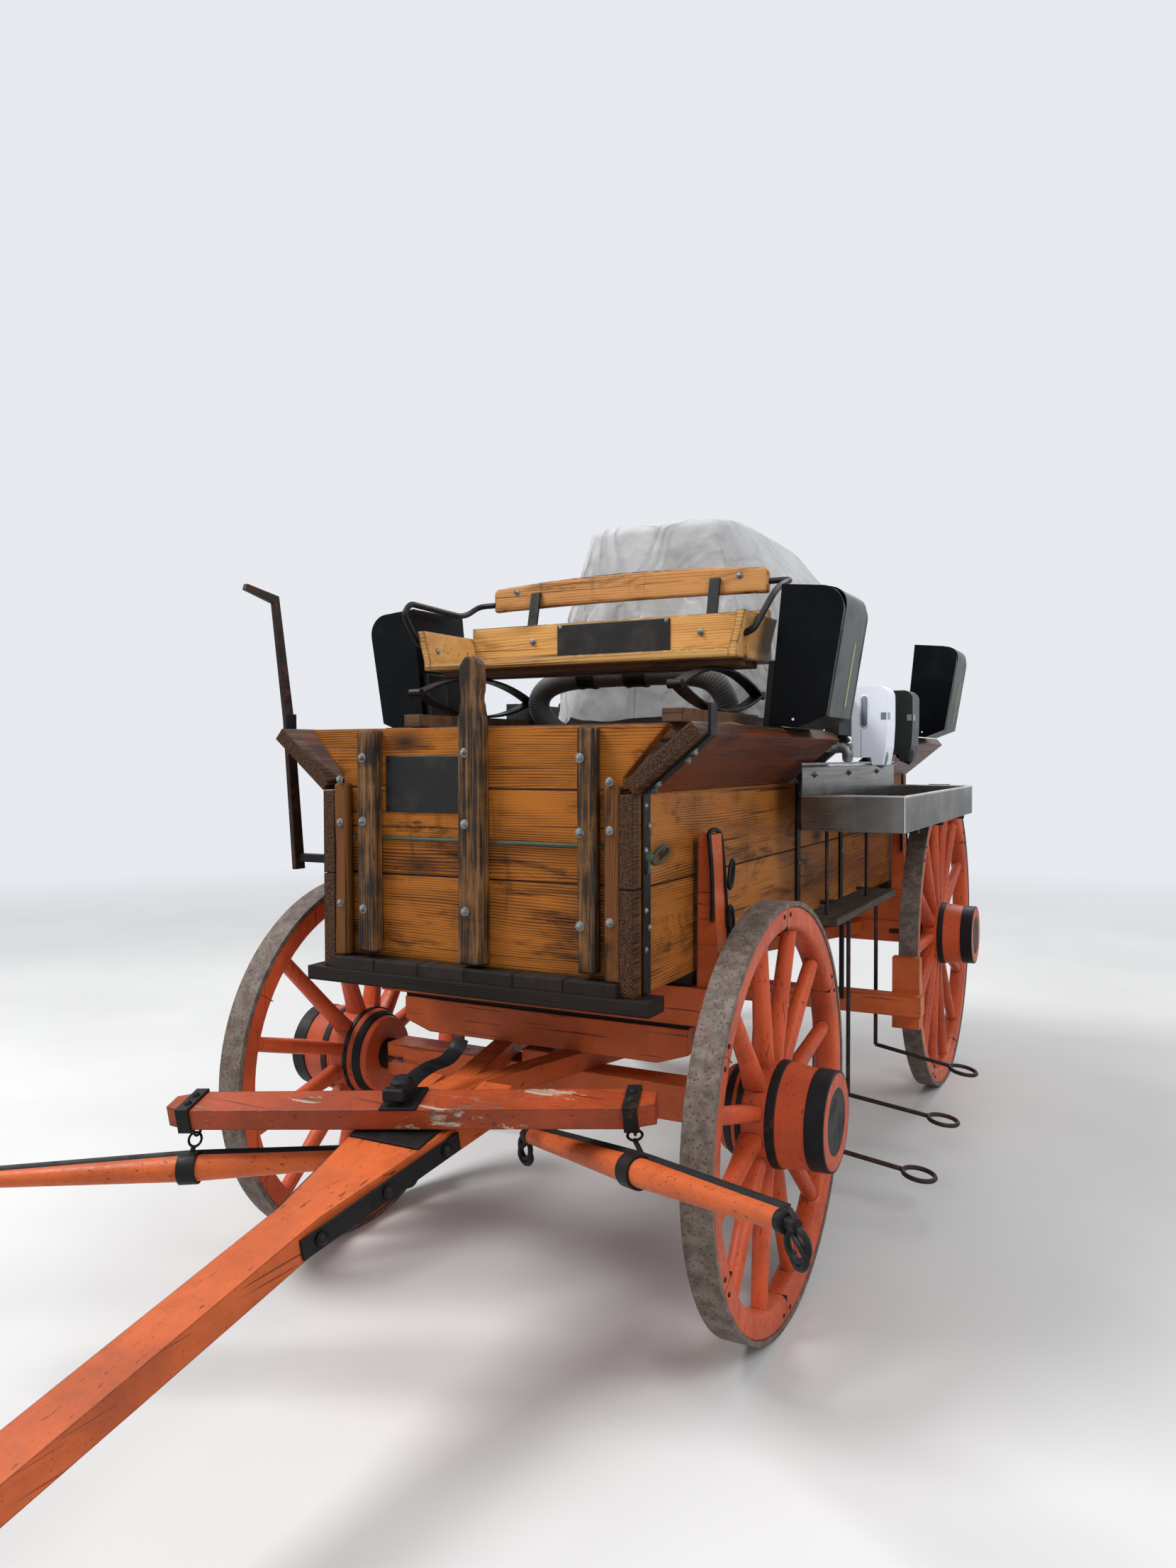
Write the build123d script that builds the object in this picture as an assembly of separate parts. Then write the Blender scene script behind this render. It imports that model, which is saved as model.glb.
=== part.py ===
from build123d import *
import math
import os

# A horse-drawn farm wagon that carries a covered water tank and two hand-wash troughs.
# Millimetres. +Z up, the tongue points to -Y, the wagon's right side is +X.
# Y is measured from the front axle while building, and all pieces are then moved together.

# Running gear
front_wheel_radius = 559.0
rear_wheel_radius = 686.0
wheelbase = 2435.0
half_track = 696.0
tyre_width = 76.0
tyre_thickness = 14.0
felloe_width = 70.0
felloe_depth = 62.0
front_spokes = 12
rear_spokes = 14
wheel_dish = 22.0
hub_nose_length = 166.0
hub_nose_radius = 120.0
hub_belly_radius = 138.0
hub_back_length = 118.0
hub_back_radius = 112.0
hub_band_height = 5.0
belly_half_width = 42.0
nose_band_width = 44.0
spoke_foot_width = 60.0
spoke_foot_thickness = 36.0
spoke_tip_width = 44.0
spoke_tip_thickness = 42.0
hub_recess_radius = 84.0
hub_recess_depth = 62.0
skein_radius = 44.0
skein_clearance = 0.3
axle_nut_radius = 58.0
axle_nut_length = 34.0
collar_gap = 6.0
collar_radius = 48.0

axle_width = 96.0
axle_height = 100.0
hound_thickness = 54.0
sand_board_height = 100.0
sand_board_width = 100.0
wear_plate = 6.0
turn_clearance = 0.5
bolster_width = 104.0
bolster_half_length = 560.0
kingbolt_radius = 14.0
kingbolt_clearance = 0.5
reach_width = 90.0
reach_height = 40.0
reach_tail = 330.0
stake_top = 1292.0
stake_gap = 14.0

# Box
box_length = 3200.0
box_front_y = -409.0
box_half_width = 477.0
board_thickness = 38.0
sill_height = 38.0
floor_bottom = 918.0
floor_thickness = 33.6
lower_plank_height = 228.0
upper_plank_height = 230.0
plank_gap = 2.0
gate_height = 628.0
gate_clearance = 5.0
gate_seat_gap = 0.5
gate_top_half_width = 550.0
post_middle = 10.0
sill_half_length = 525.0
sill_depth = 90.0
board_overhang = 16.0
front_strap_setback = 64.0
rear_strap_setback = 91.0
strap_half_width = 20.0
strap_thickness = 8.0
cleat_width = 42.0
flare_reach = 173.0
flare_rise = 144.0
flare_board = 38.0
flare_front_end = 835.0
flare_rear_start = 1900.0

# Tongue and hitch
tongue_slope = 11.3
tongue_tip_y = -3460.0
tongue_thickness = 64.0
tongue_pin_y = -470.0
tongue_tip_half_width = 38.0
tongue_half_width = 54.0
tongue_flare_half_width = 150.0
ear_gap_half = 60.0
pin_radius = 12.0
doubletree_length = 1210.0
doubletree_width = 98.0
doubletree_height = 50.0
doubletree_yaw = 17.7
doubletree_y = -668.0
doubletree_lift = 12.0
singletree_length = 990.0
singletree_width = 62.0
singletree_taper = 0.62
loop_half_width = 22.0
clip_inset = 55.0
clip_plate = 6.0
link_radius = 17.0
link_bar = 3.4
link_clearance = 0.95
hook_radius = 28.0
hook_bar = 7.0

# Water works and seat
sink_inner_x = 575.0
sink_outer_x = 900.0
sink_front_y = 650.0
sink_rear_y = 2020.0
sink_bottom = 1262.0
sink_rim = 1373.0
backsplash_top = 1476.0
sheet_metal = 4.0
station_pitch = 457.0
first_station_y = 880.0
stations = 3
pipe_x = 430.0
pipe_z = 1530.0
pipe_radius = 14.0
main_pipe_radius = 16.0
spout_radius = 12.0
spout_x = 666.0
spout_bottom = 1480.0
pipe_sides = 8
hose_radius = 38.0
hose_sides = 8
rail_sides = 6
towel_x = 585.0
towel_base = 1592.0
towel_lean = 5.5
towel_depth = 190.0
towel_width = 290.0
towel_height = 407.0
towel_corner = 66.0
soap_inner_x = 648.0
soap_width = 130.0
soap_corner = 34.0
shelf_bottom = 962.0
shelf_top = 988.0
shelf_inner_x = 575.0
shelf_outer_x = 695.0
hanger_radius = 6.0
pedal_x = 556.0
pedal_loop_x = 905.0
pedal_loop_radius = 52.0
pedal_bar = 8.0
seat_half_width = 536.0
seat_front_y = 150.0
seat_rear_y = 461.0
seat_top = 1809.0
seat_board_thickness = 26.0
seat_panel_thickness = 24.0
seat_back_height = 138.0
seat_end_height = 104.0
seat_end_splay = 26.0
backrest_setback = 66.0
backrest_half_width = 505.0
backrest_bottom = 2013.0
backrest_top = 2093.0
backrest_top_arch = 21.0
backrest_bottom_arch = 8.0
backrest_corner = 20.0
spring_half_length = 345.0
spring_half_height = 66.0
spring_x = 430.0
leaf_width = 42.0
leaf_thickness = 8.0
spring_eye_radius = 13.0
rail_bar = 9.0
rail_x = 575.0
tank_front = 860.0
tank_rear = 1700.0
tank_half_width = 380.0
tank_shoulder = 2090.0
tank_crown = 2270.0
crown_half_width = 210.0
brake_setback = 775.0
brake_half_length = 770.0
brake_lever_x = -715.0
brake_pivot_y = -250.0
brake_pivot_z = 1200.0

# Worked out from the sizes above
box_rear_y = box_front_y + box_length
floor_top = floor_bottom + floor_thickness
side_top = floor_top + lower_plank_height + upper_plank_height
inner_half_width = box_half_width - board_thickness
sill_bottom = floor_bottom - sill_height
front_axle_z = front_wheel_radius
rear_axle_z = rear_wheel_radius
axle_half_beam = half_track - hub_back_length - collar_gap - 30.0
hound_bottom = front_axle_z + axle_height / 2
sand_board_bottom = hound_bottom + hound_thickness
sand_board_top = sand_board_bottom + sand_board_height
bolster_bottom = sand_board_top + 2 * wear_plate + turn_clearance
wagon_rear_y = wheelbase + rear_wheel_radius
front_axle_y = -(tongue_tip_y + wagon_rear_y) / 2
slope = math.tan(math.radians(tongue_slope))
tongue_drop = tongue_thickness / math.cos(math.radians(tongue_slope))
tongue_top_at_axle = tongue_drop - slope * tongue_tip_y

nodes = {}


def block(x0, x1, y0, y1, z0, z1):
    """A box between two corners."""
    return Pos((x0 + x1) / 2, (y0 + y1) / 2, (z0 + z1) / 2) * Box(x1 - x0, y1 - y0, z1 - z0)


def rod(start, end, radius):
    """A round bar from one point to another."""
    a = Vector(*start)
    run = Vector(*end) - a
    return extrude(Plane(origin=a, z_dir=run) * Circle(radius), run.length)


def many_sided_rod(start, end, radius, sides):
    """A straight bar with a regular outline of a few sides."""
    a = Vector(*start)
    run = Vector(*end) - a
    return extrude(Plane(origin=a, z_dir=run) * RegularPolygon(radius, sides), run.length)


def ring(radius, bar, sides=6):
    """A closed ring about the local Z axis, bent from a bar."""
    section = Plane.XZ * (Pos(radius, 0) * RegularPolygon(bar, sides))
    return revolve(section, axis=Axis.Z)


def flat_bar(start, end, width, thickness, across):
    """A flat bar from one point to another, its width along the vector named across."""
    a = Vector(*start)
    run = Vector(*end) - a
    face = Plane(origin=a, x_dir=Vector(*across), z_dir=run) * Rectangle(width, thickness)
    return extrude(face, run.length)


def prism_x(points, x0, x1):
    """An outline of (y, z) points, extruded along X."""
    face = make_face(Plane.YZ * Polyline(*points, close=True))
    return Pos(x0, 0, 0) * extrude(face, x1 - x0, dir=(1, 0, 0))


def prism_y(points, y0, y1):
    """An outline of (x, z) points, extruded along Y."""
    face = make_face(Polyline(*[(x, 0, z) for x, z in points], close=True))
    return Pos(0, y0, 0) * extrude(face, y1 - y0, dir=(0, 1, 0))


def prism_z(points, z0, z1):
    """An outline of (x, y) points, extruded along Z."""
    face = make_face(Polyline(*[(x, y, 0) for x, y in points], close=True))
    return Pos(0, 0, z0) * extrude(face, z1 - z0, dir=(0, 0, 1))


def mirrored(shape):
    """The same shape on the other side of the wagon."""
    return mirror(shape, about=Plane.YZ)


def both_sides(shape):
    return [shape, mirrored(shape)]


def turned_y(profile):
    """A profile of (along, radius) points, revolved about the local X axis."""
    face = make_face(Polyline(*[(x, 0, r) for x, r in profile], close=True))
    return revolve(face, axis=Axis.X)


# Wheels
def wheel_wood(radius, spokes):
    """Hub, spokes and felloes about the local X axis, nose towards +X."""
    rim_outer = radius - tyre_thickness - 0.3
    rim_inner = rim_outer - felloe_depth
    w = felloe_width / 2
    rim = turned_y([(-w, rim_outer), (w, rim_outer), (w, rim_inner), (-w, rim_inner)])
    root = -wheel_dish
    band = hub_band_height
    nose = hub_nose_length
    back = -hub_back_length
    bore = skein_radius + skein_clearance
    hub = turned_y([
        (back, bore), (back, hub_back_radius), (root - belly_half_width, hub_belly_radius),
        (root + belly_half_width, hub_belly_radius), (nose - nose_band_width, hub_nose_radius + band),
        (nose, hub_nose_radius + band), (nose, hub_recess_radius),
        (nose - hub_recess_depth, hub_recess_radius), (nose - hub_recess_depth, bore),
    ])
    foot = Plane(origin=(root, 0, hub_belly_radius - 20), z_dir=(0, 0, 1), x_dir=(1, 0, 0))
    tip = Plane(origin=(0, 0, rim_inner + 8), z_dir=(0, 0, 1), x_dir=(1, 0, 0))
    corners = ((0.5, 0.22), (0.22, 0.5), (-0.22, 0.5), (-0.5, 0.22),
               (-0.5, -0.22), (-0.22, -0.5), (0.22, -0.5), (0.5, -0.22))
    sections = []
    ends = ((foot, spoke_foot_width, spoke_foot_thickness), (tip, spoke_tip_width, spoke_tip_thickness))
    for plane, wide, thick in ends:
        sections.append(plane * make_face(Polyline(*[(a * wide, b * thick) for a, b in corners], close=True)))
    spoke = loft(sections, ruled=True)
    body = rim + hub
    for i in range(spokes):
        body += Rot(X=360.0 * (i + 0.5) / spokes) * spoke
    return body


def tyre_ring(radius):
    w = tyre_width / 2
    inner = radius - tyre_thickness
    return turned_y([(-w, inner), (w, inner), (w, radius), (-w, radius)])


# name, side, axle position, radius, spokes
wheel_table = (
    ("front_right", 1, 0.0, front_wheel_radius, front_spokes),
    ("front_left", -1, 0.0, front_wheel_radius, front_spokes),
    ("rear_right", 1, wheelbase, rear_wheel_radius, rear_spokes),
    ("rear_left", -1, wheelbase, rear_wheel_radius, rear_spokes),
)


def make_wheels():
    for name, side, y, radius, spokes in wheel_table:
        wood = wheel_wood(radius, spokes)
        ring = tyre_ring(radius)
        if side < 0:
            wood = mirrored(wood)
            ring = mirrored(ring)
        place = Pos(side * half_track, y, radius)
        nodes["wheel_" + name] = [place * wood]
        nodes["tyre_" + name] = [place * ring]


def axle_with_skeins(z, y):
    """Wooden axle beam with an iron arm at each end, joined as one piece."""
    w = axle_width / 2
    h = axle_height / 2
    beam = block(-axle_half_beam, axle_half_beam, y - w, y + w, z - h, z + h)
    collar_start = axle_half_beam - 60
    arm_end = half_track + hub_nose_length - hub_recess_depth + 22
    collar_end = half_track - hub_back_length - collar_gap
    arms = []
    for side in (1, -1):
        collar = rod((side * collar_start, y, z), (side * collar_end, y, z), collar_radius)
        arm = rod((side * collar_end, y, z), (side * arm_end, y, z), skein_radius)
        nut_start = half_track + hub_nose_length - hub_recess_depth + 4
        nut_plane = Plane(origin=(side * nut_start, y, z), z_dir=(side, 0, 0))
        nut = extrude(nut_plane * RegularPolygon(axle_nut_radius, 6), axle_nut_length)
        arms.append(collar + arm + nut)
    wood = beam - arms[0] - arms[1]
    return wood, arms


def make_axles():
    front_wood, front_arms = axle_with_skeins(front_axle_z, 0.0)
    bolt_hole = Pos(0, 0, front_axle_z) * Cylinder(kingbolt_radius + kingbolt_clearance, 400)
    nodes["front_axle"] = [front_wood - bolt_hole]
    nodes["front_irons"] = front_arms
    rear_wood, rear_arms = axle_with_skeins(rear_axle_z, wheelbase)
    nodes["rear_axle"] = [rear_wood]
    nodes["gear_irons"] = rear_arms


# Front gear, which turns about the kingbolt
def make_front_gear():
    hole = Pos(0, 0, sand_board_top) * Cylinder(kingbolt_radius + kingbolt_clearance, 900)
    w = sand_board_width / 2
    half = 470.0
    board = prism_y([
        (-half, sand_board_bottom + 30), (-half + 90, sand_board_bottom), (half - 90, sand_board_bottom),
        (half, sand_board_bottom + 30), (half, sand_board_top), (-half, sand_board_top),
    ], -w, w)
    plate = block(-half, half, -w + 6, w - 6, sand_board_top, sand_board_top + wear_plate)
    nodes["sand_board"] = [board - hole]
    nodes["front_irons"].append(plate - hole)
    z0 = hound_bottom
    z1 = hound_bottom + hound_thickness - 0.1
    nose_half = ear_gap_half - 5.0
    bar = 30.0
    rear_x, rear_y = 300.0, 620.0
    nose_y = tongue_pin_y - 48.0
    splay_y = tongue_pin_y + 75.0
    hounds = prism_z([(rear_x - bar, rear_y), (rear_x + bar, rear_y), (nose_half, splay_y), (nose_half, nose_y),
                      (-nose_half, nose_y), (-nose_half, splay_y), (-rear_x - bar, rear_y),
                      (-rear_x + bar, rear_y), (0, splay_y + 30)], z0, z1)
    pin_z = tongue_pin_z()
    hounds -= rod((-80, tongue_pin_y, pin_z), (80, tongue_pin_y, pin_z), pin_radius + 0.5)
    sway = block(-rear_x - 60, rear_x + 60, rear_y - 90, rear_y - 20, z0 - 50, z0)
    nodes["front_hounds"] = [hounds - hole, sway]


def tongue_pin_z():
    return hound_bottom + 23.0


# Tongue, hinged across the nose of the front hounds
def make_tongue():
    top = tongue_top_at_axle
    pin_z = tongue_pin_z()
    y0 = tongue_tip_y
    ear_end = tongue_pin_y + 42.0
    outline = [(-tongue_tip_half_width, y0), (tongue_tip_half_width, y0), (tongue_half_width, -1500),
               (tongue_half_width + 2, -1040), (tongue_flare_half_width - 25, -620),
               (tongue_flare_half_width, tongue_pin_y), (tongue_flare_half_width, ear_end),
               (ear_gap_half, ear_end), (ear_gap_half, tongue_pin_y - 60),
               (-ear_gap_half, tongue_pin_y - 60), (-ear_gap_half, ear_end),
               (-tongue_flare_half_width, ear_end), (-tongue_flare_half_width, tongue_pin_y),
               (25 - tongue_flare_half_width, -620), (-tongue_half_width - 2, -1040),
               (-tongue_half_width, -1500)]
    plan = prism_z(outline, -200, 1200)
    z_top = lambda y: top + slope * y
    tip_top = z_top(y0)
    side = prism_x([(y0, tip_top - tongue_drop), (y0, tip_top), (ear_end, z_top(ear_end)),
                    (ear_end, z_top(ear_end) - tongue_drop)], -400, 400)
    pole = plan & side
    bore = rod((-200, tongue_pin_y, pin_z), (200, tongue_pin_y, pin_z), pin_radius + 0.3)
    king = tongue_place(doubletree_y) * Cylinder(15.5, 400)
    nodes["tongue_pole"] = [pole - bore - king]
    plate = block(-100, 100, -95, 95, 0.2, 6) - Cylinder(15.5, 60)
    straps = []
    for side in (1, -1):
        x0 = side * (tongue_half_width + 2)
        x1 = side * (tongue_flare_half_width - 25)
        low = (x0 + side * 4, -1040 - 60, z_top(-1100) - 34)
        high = (x1 + side * 4, -640, z_top(-640) - 34)
        straps.append(flat_bar(low, high, 44, 6, (0, 0, 1)))
    nodes["tongue_irons"] = [tongue_place(doubletree_y) * plate] + straps
    hinge = rod((-tongue_flare_half_width - 14, tongue_pin_y, pin_z),
                (tongue_flare_half_width + 14, tongue_pin_y, pin_z), pin_radius)
    nodes["front_irons"].append(hinge)


def tongue_place(y):
    """A frame on the tongue's top face at one place along it, its Z square to the face."""
    return Pos(0, y, tongue_top_at_axle + slope * y) * Rot(X=tongue_slope)


def doubletree_place():
    return tongue_place(doubletree_y) * Rot(Z=doubletree_yaw)


def make_doubletree():
    half = doubletree_length / 2
    end = 60.0
    w = doubletree_width / 2
    h = doubletree_height
    bar = prism_z([(-half, -w * 0.55), (-half + end, -w), (half - end, -w), (half, -w * 0.55),
                   (half, w * 0.55), (half - end, w), (end - half, w), (-half, w * 0.55)],
                  doubletree_lift, doubletree_lift + h)
    hole = Cylinder(15.5, 400)
    nodes["doubletree_bar"] = [doubletree_place() * (bar - hole)]
    top = doubletree_lift + h
    pin = rod((0, 0, -tongue_thickness - 12), (0, 0, top + 46), 15.0)
    head = rod((0, 0, top + 28), (0, 0, top + 46), 24.0)
    plate = block(-45, 45, -w - 4, w + 4, top, top + 6) - Cylinder(15.0, 400)
    nodes["doubletree_irons"] = [doubletree_place() * (pin + head)]
    clips = []
    for side in (1, -1):
        x = side * (half - clip_inset)
        outer = block(x - 17, x + 17, -w - clip_plate, w + clip_plate, doubletree_lift - clip_plate, top + clip_plate)
        inner = block(x - 18, x + 18, -w, w, doubletree_lift, top)
        eye = link_frame(side) * Rot(Y=90) * ring(link_radius, link_bar)
        clips.append(doubletree_place() * (outer - inner) + eye)
    nodes["doubletree_irons"] += [doubletree_place() * plate] + clips


# turn of the eye under each end of the doubletree
link_turns = {1: 3.0, -1: 0.0}

# side, centre x, y, z, yaw, tilt of its right end
singletree_table = (
    ("right", 579.0, -621.0, 593.6, -31.6, 8.0),
    ("left", -508.0, -869.4, 495.3, 28.0, 3.0),
)


def link_frame(side):
    """A frame at the centre of the eye under one clip of the doubletree."""
    x = side * (doubletree_length / 2 - clip_inset)
    return doubletree_place() * Pos(x, 0, doubletree_lift - clip_plate - link_radius) * Rot(Z=link_turns[side])


def make_singletrees():
    for side, x, y, z, yaw, tilt in singletree_table:
        place = Pos(x, y, z) * Rot(Z=yaw) * Rot(Y=-tilt)
        half = singletree_length / 2
        thick = singletree_width / 2
        thin = thick * singletree_taper
        wood = turned_y([(-half, 0), (-half, thin), (-loop_half_width, thick), (loop_half_width, thick),
                         (half, thin), (half, 0)])
        nodes["singletree_" + side] = [place * wood]
        loop = rod((-loop_half_width, 0, 0), (loop_half_width, 0, 0), thick + 7)
        loop -= rod((-loop_half_width - 1, 0, 0), (loop_half_width + 1, 0, 0), thick + 0.3)
        hook_up = link_frame(1 if side == "right" else -1)
        hang = hook_up.position
        centre = Vector(x, y, z)
        along = (place * Pos(1, 0, 0)).position - centre
        down = (centre - hang).normalized()
        radial = (hang - centre - along * (hang - centre).dot(along)).normalized()
        beam_x = (hook_up * Pos(1, 0, 0)).position - hang
        eye_axis = down.cross(beam_x).normalized()
        eye_drop = 2 * link_radius - 2 * link_bar - link_clearance
        low_eye = Plane(origin=hang + down * eye_drop, x_dir=down, z_dir=eye_axis) * ring(link_radius, link_bar)
        start = hang + down * (eye_drop + link_radius)
        end_point = centre + radial * (singletree_width / 2 + 4)
        link = rod(tuple(start), tuple(end_point), link_bar + 2.5)
        link -= rod(tuple(centre - along * 150), tuple(centre + along * 150), singletree_width / 2 + 0.3)
        irons = [low_eye + link + place * loop]
        for end in (1, -1):
            tip = end * half
            stem = rod((tip + end * 0.3, 0, 0), (tip + end * 36, 0, 0), 12)
            hook = Pos(tip + end * 32, 0, -hook_radius - 6) * Rot(X=90) * ring(hook_radius, hook_bar)
            irons.append(place * (stem + hook))
        nodes["singletree_irons_" + side] = irons


# Rear gear and reach
def make_rear_gear():
    w = bolster_width / 2
    top = sill_bottom
    rear_bottom = rear_axle_z + axle_height / 2
    half = bolster_half_length
    y = wheelbase
    reach_rear_z = rear_bottom + reach_height / 2 + 3
    slot = block(-reach_width / 2 - 1, reach_width / 2 + 1, y - 200, y + 200, rear_bottom - 1,
                 rear_bottom + reach_height + 14)
    rear = block(-half, half, y - w, y + w, rear_bottom, top)
    nodes["rear_bolster"] = [rear - slot]
    front_z = hound_bottom + hound_thickness / 2
    nose = -60.0
    tail = wheelbase + reach_tail
    rise = (reach_rear_z - front_z) / wheelbase
    half_h = reach_height / 2
    line = lambda at: front_z + rise * at
    reach = prism_x([(nose, line(nose) - half_h), (tail, line(tail) - half_h), (tail, line(tail) + half_h),
                     (nose, line(nose) + half_h)], -reach_width / 2, reach_width / 2)
    hole = Pos(0, 0, front_z) * Cylinder(kingbolt_radius + 0.3, 300)
    nodes["reach"] = [reach - hole]
    bars = []
    for side in (1, -1):
        start = (side * 88, wheelbase - 900, line(wheelbase - 900))
        end = (side * 330, wheelbase - axle_width / 2 - 9, rear_bottom - 40)
        bars.append(flat_bar(start, end, 56, 60, (0, 0, 1)))
    nodes["rear_hounds"] = bars
    front = block(-half, half, -w, w, bolster_bottom, top)
    front -= Cylinder(kingbolt_radius + 0.3, 2500)
    nodes["front_bolster"] = [front]
    upper_plate = block(-470, 470, -w + 8, w - 8, bolster_bottom - wear_plate, bolster_bottom)
    upper_plate -= Cylinder(kingbolt_radius + 0.3, 2500)
    bolt = rod((0, 0, front_axle_z - axle_height / 2 - 40), (0, 0, top - 1), kingbolt_radius)
    nodes["gear_irons"] += [upper_plate, bolt]
    for at in (0.0, wheelbase):
        low_x = box_half_width + stake_gap
        stake = prism_y([(low_x, top - 20), (low_x + 66, top - 20), (low_x + 42, stake_top), (low_x + 4, stake_top)],
                        at - 38, at + 38)
        name = "front_bolster" if at == 0.0 else "rear_bolster"
        nodes[name] = [nodes[name][0] + stake + mirrored(stake)]


# Box
def make_floor():
    planks = 6
    width = (2 * inner_half_width) / planks
    pieces = []
    for i in range(planks):
        x0 = -inner_half_width + i * width + plank_gap / 2
        pieces.append(block(x0, x0 + width - plank_gap, box_front_y - board_overhang, box_rear_y + board_overhang,
                            floor_bottom, floor_top))
    nodes["floor_planks"] = pieces
    sills = []
    long, short = sill_half_length, box_half_width
    # middle of each sill along the wagon, half length
    sill_table = (
        (box_front_y - board_overhang + sill_depth / 2, long),
        (0.0, short),
        (wheelbase / 2 - 22.0, long),
        (wheelbase, short),
        (box_rear_y + board_overhang - sill_depth / 2, long),
    )
    for y, half in sill_table:
        sills.append(block(-half, half, y - sill_depth / 2, y + sill_depth / 2, sill_bottom, floor_bottom))
    nodes["cross_sills"] = sills


def make_sides():
    y0 = box_front_y
    y1 = box_rear_y
    seam = floor_top + lower_plank_height
    lower = block(inner_half_width, box_half_width, y0, y1, floor_bottom, seam - plank_gap / 2)
    upper = block(inner_half_width, box_half_width, y0, y1, seam + plank_gap / 2, side_top)
    nodes["side_planks"] = both_sides(lower) + both_sides(upper)


def flare_section(inset):
    """Cross-section of a flared side board, raised from the side's top edge."""
    run = math.hypot(flare_reach, flare_rise)
    ux, uz = flare_reach / run, flare_rise / run
    nx, nz = -uz, ux
    x0, z0 = box_half_width, side_top + 1
    lo = inset
    a = (x0 + nx * lo, z0 + nz * lo)
    b = (a[0] + ux * run, a[1] + uz * run)
    t = flare_board
    return [a, b, (b[0] + nx * t, b[1] + nz * t), (a[0] + nx * t, a[1] + nz * t)]


def flare_inner_x(z):
    """Half width between the inner faces of the two flares at one height."""
    corner = flare_section(0.0)[3]
    return corner[0] + (z - corner[1]) * flare_reach / flare_rise


def flare_inner_z(x):
    """Height of the right flare's inner face at one half width."""
    corner = flare_section(0.0)[3]
    return corner[1] + (x - corner[0]) * flare_rise / flare_reach


def make_flares():
    right = []
    for y0, y1 in ((box_front_y + 38, flare_front_end), (flare_rear_start, box_rear_y)):
        right.append(prism_y(flare_section(0.0), y0, y1))
    right.append(prism_y(flare_section(0.0), box_front_y - 2, box_front_y + 38 - 0.3))
    nodes["flare_boards"] = []
    for piece in right:
        nodes["flare_boards"] += both_sides(piece)


def make_gates():
    low = inner_half_width - gate_clearance
    front_face = box_front_y + 38
    base = floor_top + gate_seat_gap
    top = base + gate_height
    seam1 = base + 231
    seam2 = seam1 + 234
    wide = gate_top_half_width
    planks = [
        block(-low, low, front_face, front_face + 38, base, seam1 - 1),
        block(-low, low, front_face, front_face + 38, seam1 + 1, seam2 - 1),
    ]
    upper = prism_y([(-low, seam2 + 1), (low, seam2 + 1), (low, side_top + 40), (wide, top), (-wide, top),
                     (-low, side_top + 40)], front_face, front_face + 38)
    planks.append(upper)
    nodes["front_gate_planks"] = planks
    battens = []
    # centre x, width, bottom, top
    for x, width, z0, z1 in ((-328, 60, 970, 1574), (348, 48, 968, 1574)):
        battens.append(block(x - width / 2, x + width / 2, box_front_y - 1, front_face, z0, z1))
    nodes["front_gate_battens"] = battens
    # half width of the post about its middle, height
    post_outline = ((38, 960), (36, 1595), (26, 1652), (32, 1700), (29, 1742), (15, 1761))
    post = [(post_middle + half, z) for half, z in post_outline]
    post += [(post_middle - half, z) for half, z in reversed(post_outline)]
    nodes["front_gate_battens"].append(prism_y(post, box_front_y - 1, front_face))
    nodes["gate_sign"] = [block(-285, -35, front_face - 4, front_face, 1352, 1505)]
    cleats = []
    x0 = inner_half_width - cleat_width
    for y0, y1 in ((box_front_y, front_face - gate_clearance), (front_face + 38 + gate_clearance,
                   front_face + 38 + gate_clearance + 36)):
        cleats += both_sides(block(x0, inner_half_width, y0, y1, floor_top, side_top + 20))
    rear_face = box_rear_y - 38
    rear_planks = [
        block(-low, low, rear_face - 38, rear_face, base, seam1 - 1),
        block(-low, low, rear_face - 38, rear_face, seam1 + 1, side_top - 6),
    ]
    rear_battens = rear_planks[0] + rear_planks[1]
    for x in (-330, 0, 330):
        rear_battens += block(x - 32, x + 32, rear_face, rear_face + 36, floor_top + 18, side_top - 20)
    nodes["rear_gate"] = [rear_battens]
    for y0, y1 in ((rear_face + gate_clearance, box_rear_y), (rear_face - 38 - gate_clearance - 36,
                   rear_face - 38 - gate_clearance)):
        cleats += both_sides(block(x0, inner_half_width, y0, y1, floor_top, side_top + 20))
    nodes["gate_cleats"] = cleats


def make_side_irons():
    irons = []
    # place of each vertical strap along the side
    places = (box_front_y + front_strap_setback, box_front_y + 0.418 * box_length, box_front_y + 0.6 * box_length,
              box_rear_y - rear_strap_setback)
    for y in places:
        strap = block(box_half_width, box_half_width + strap_thickness, y - strap_half_width, y + strap_half_width,
                      floor_bottom + 1, side_top)
        irons += both_sides(strap)
    foot, tip = flare_section(0.0)[:2]
    under_foot, under_tip = flare_section(-strap_thickness)[:2]
    outer_x = tip[0] + strap_thickness
    upright_top = side_top + 218.0
    corner = prism_y([foot, tip, (tip[0] + 0.3, tip[1]), (tip[0] + 0.3, upright_top), (outer_x, upright_top),
                      (outer_x, under_tip[1] + 2), under_tip, (under_foot[0] + 8, under_foot[1] + 7)],
                     places[0] - strap_half_width, places[0] + strap_half_width)
    irons += both_sides(corner)
    nodes["side_irons"] = irons


# Seat on its springs
# side, (along, height) of each bend of the arm rail
arm_rails = (
    (-1, ((170, 1862), (92, 1962), (126, 2001), (439, 1991), (539, 2040))),
    (1, ((188, 1850), (396, 2007), (539, 2050))),
)


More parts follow.
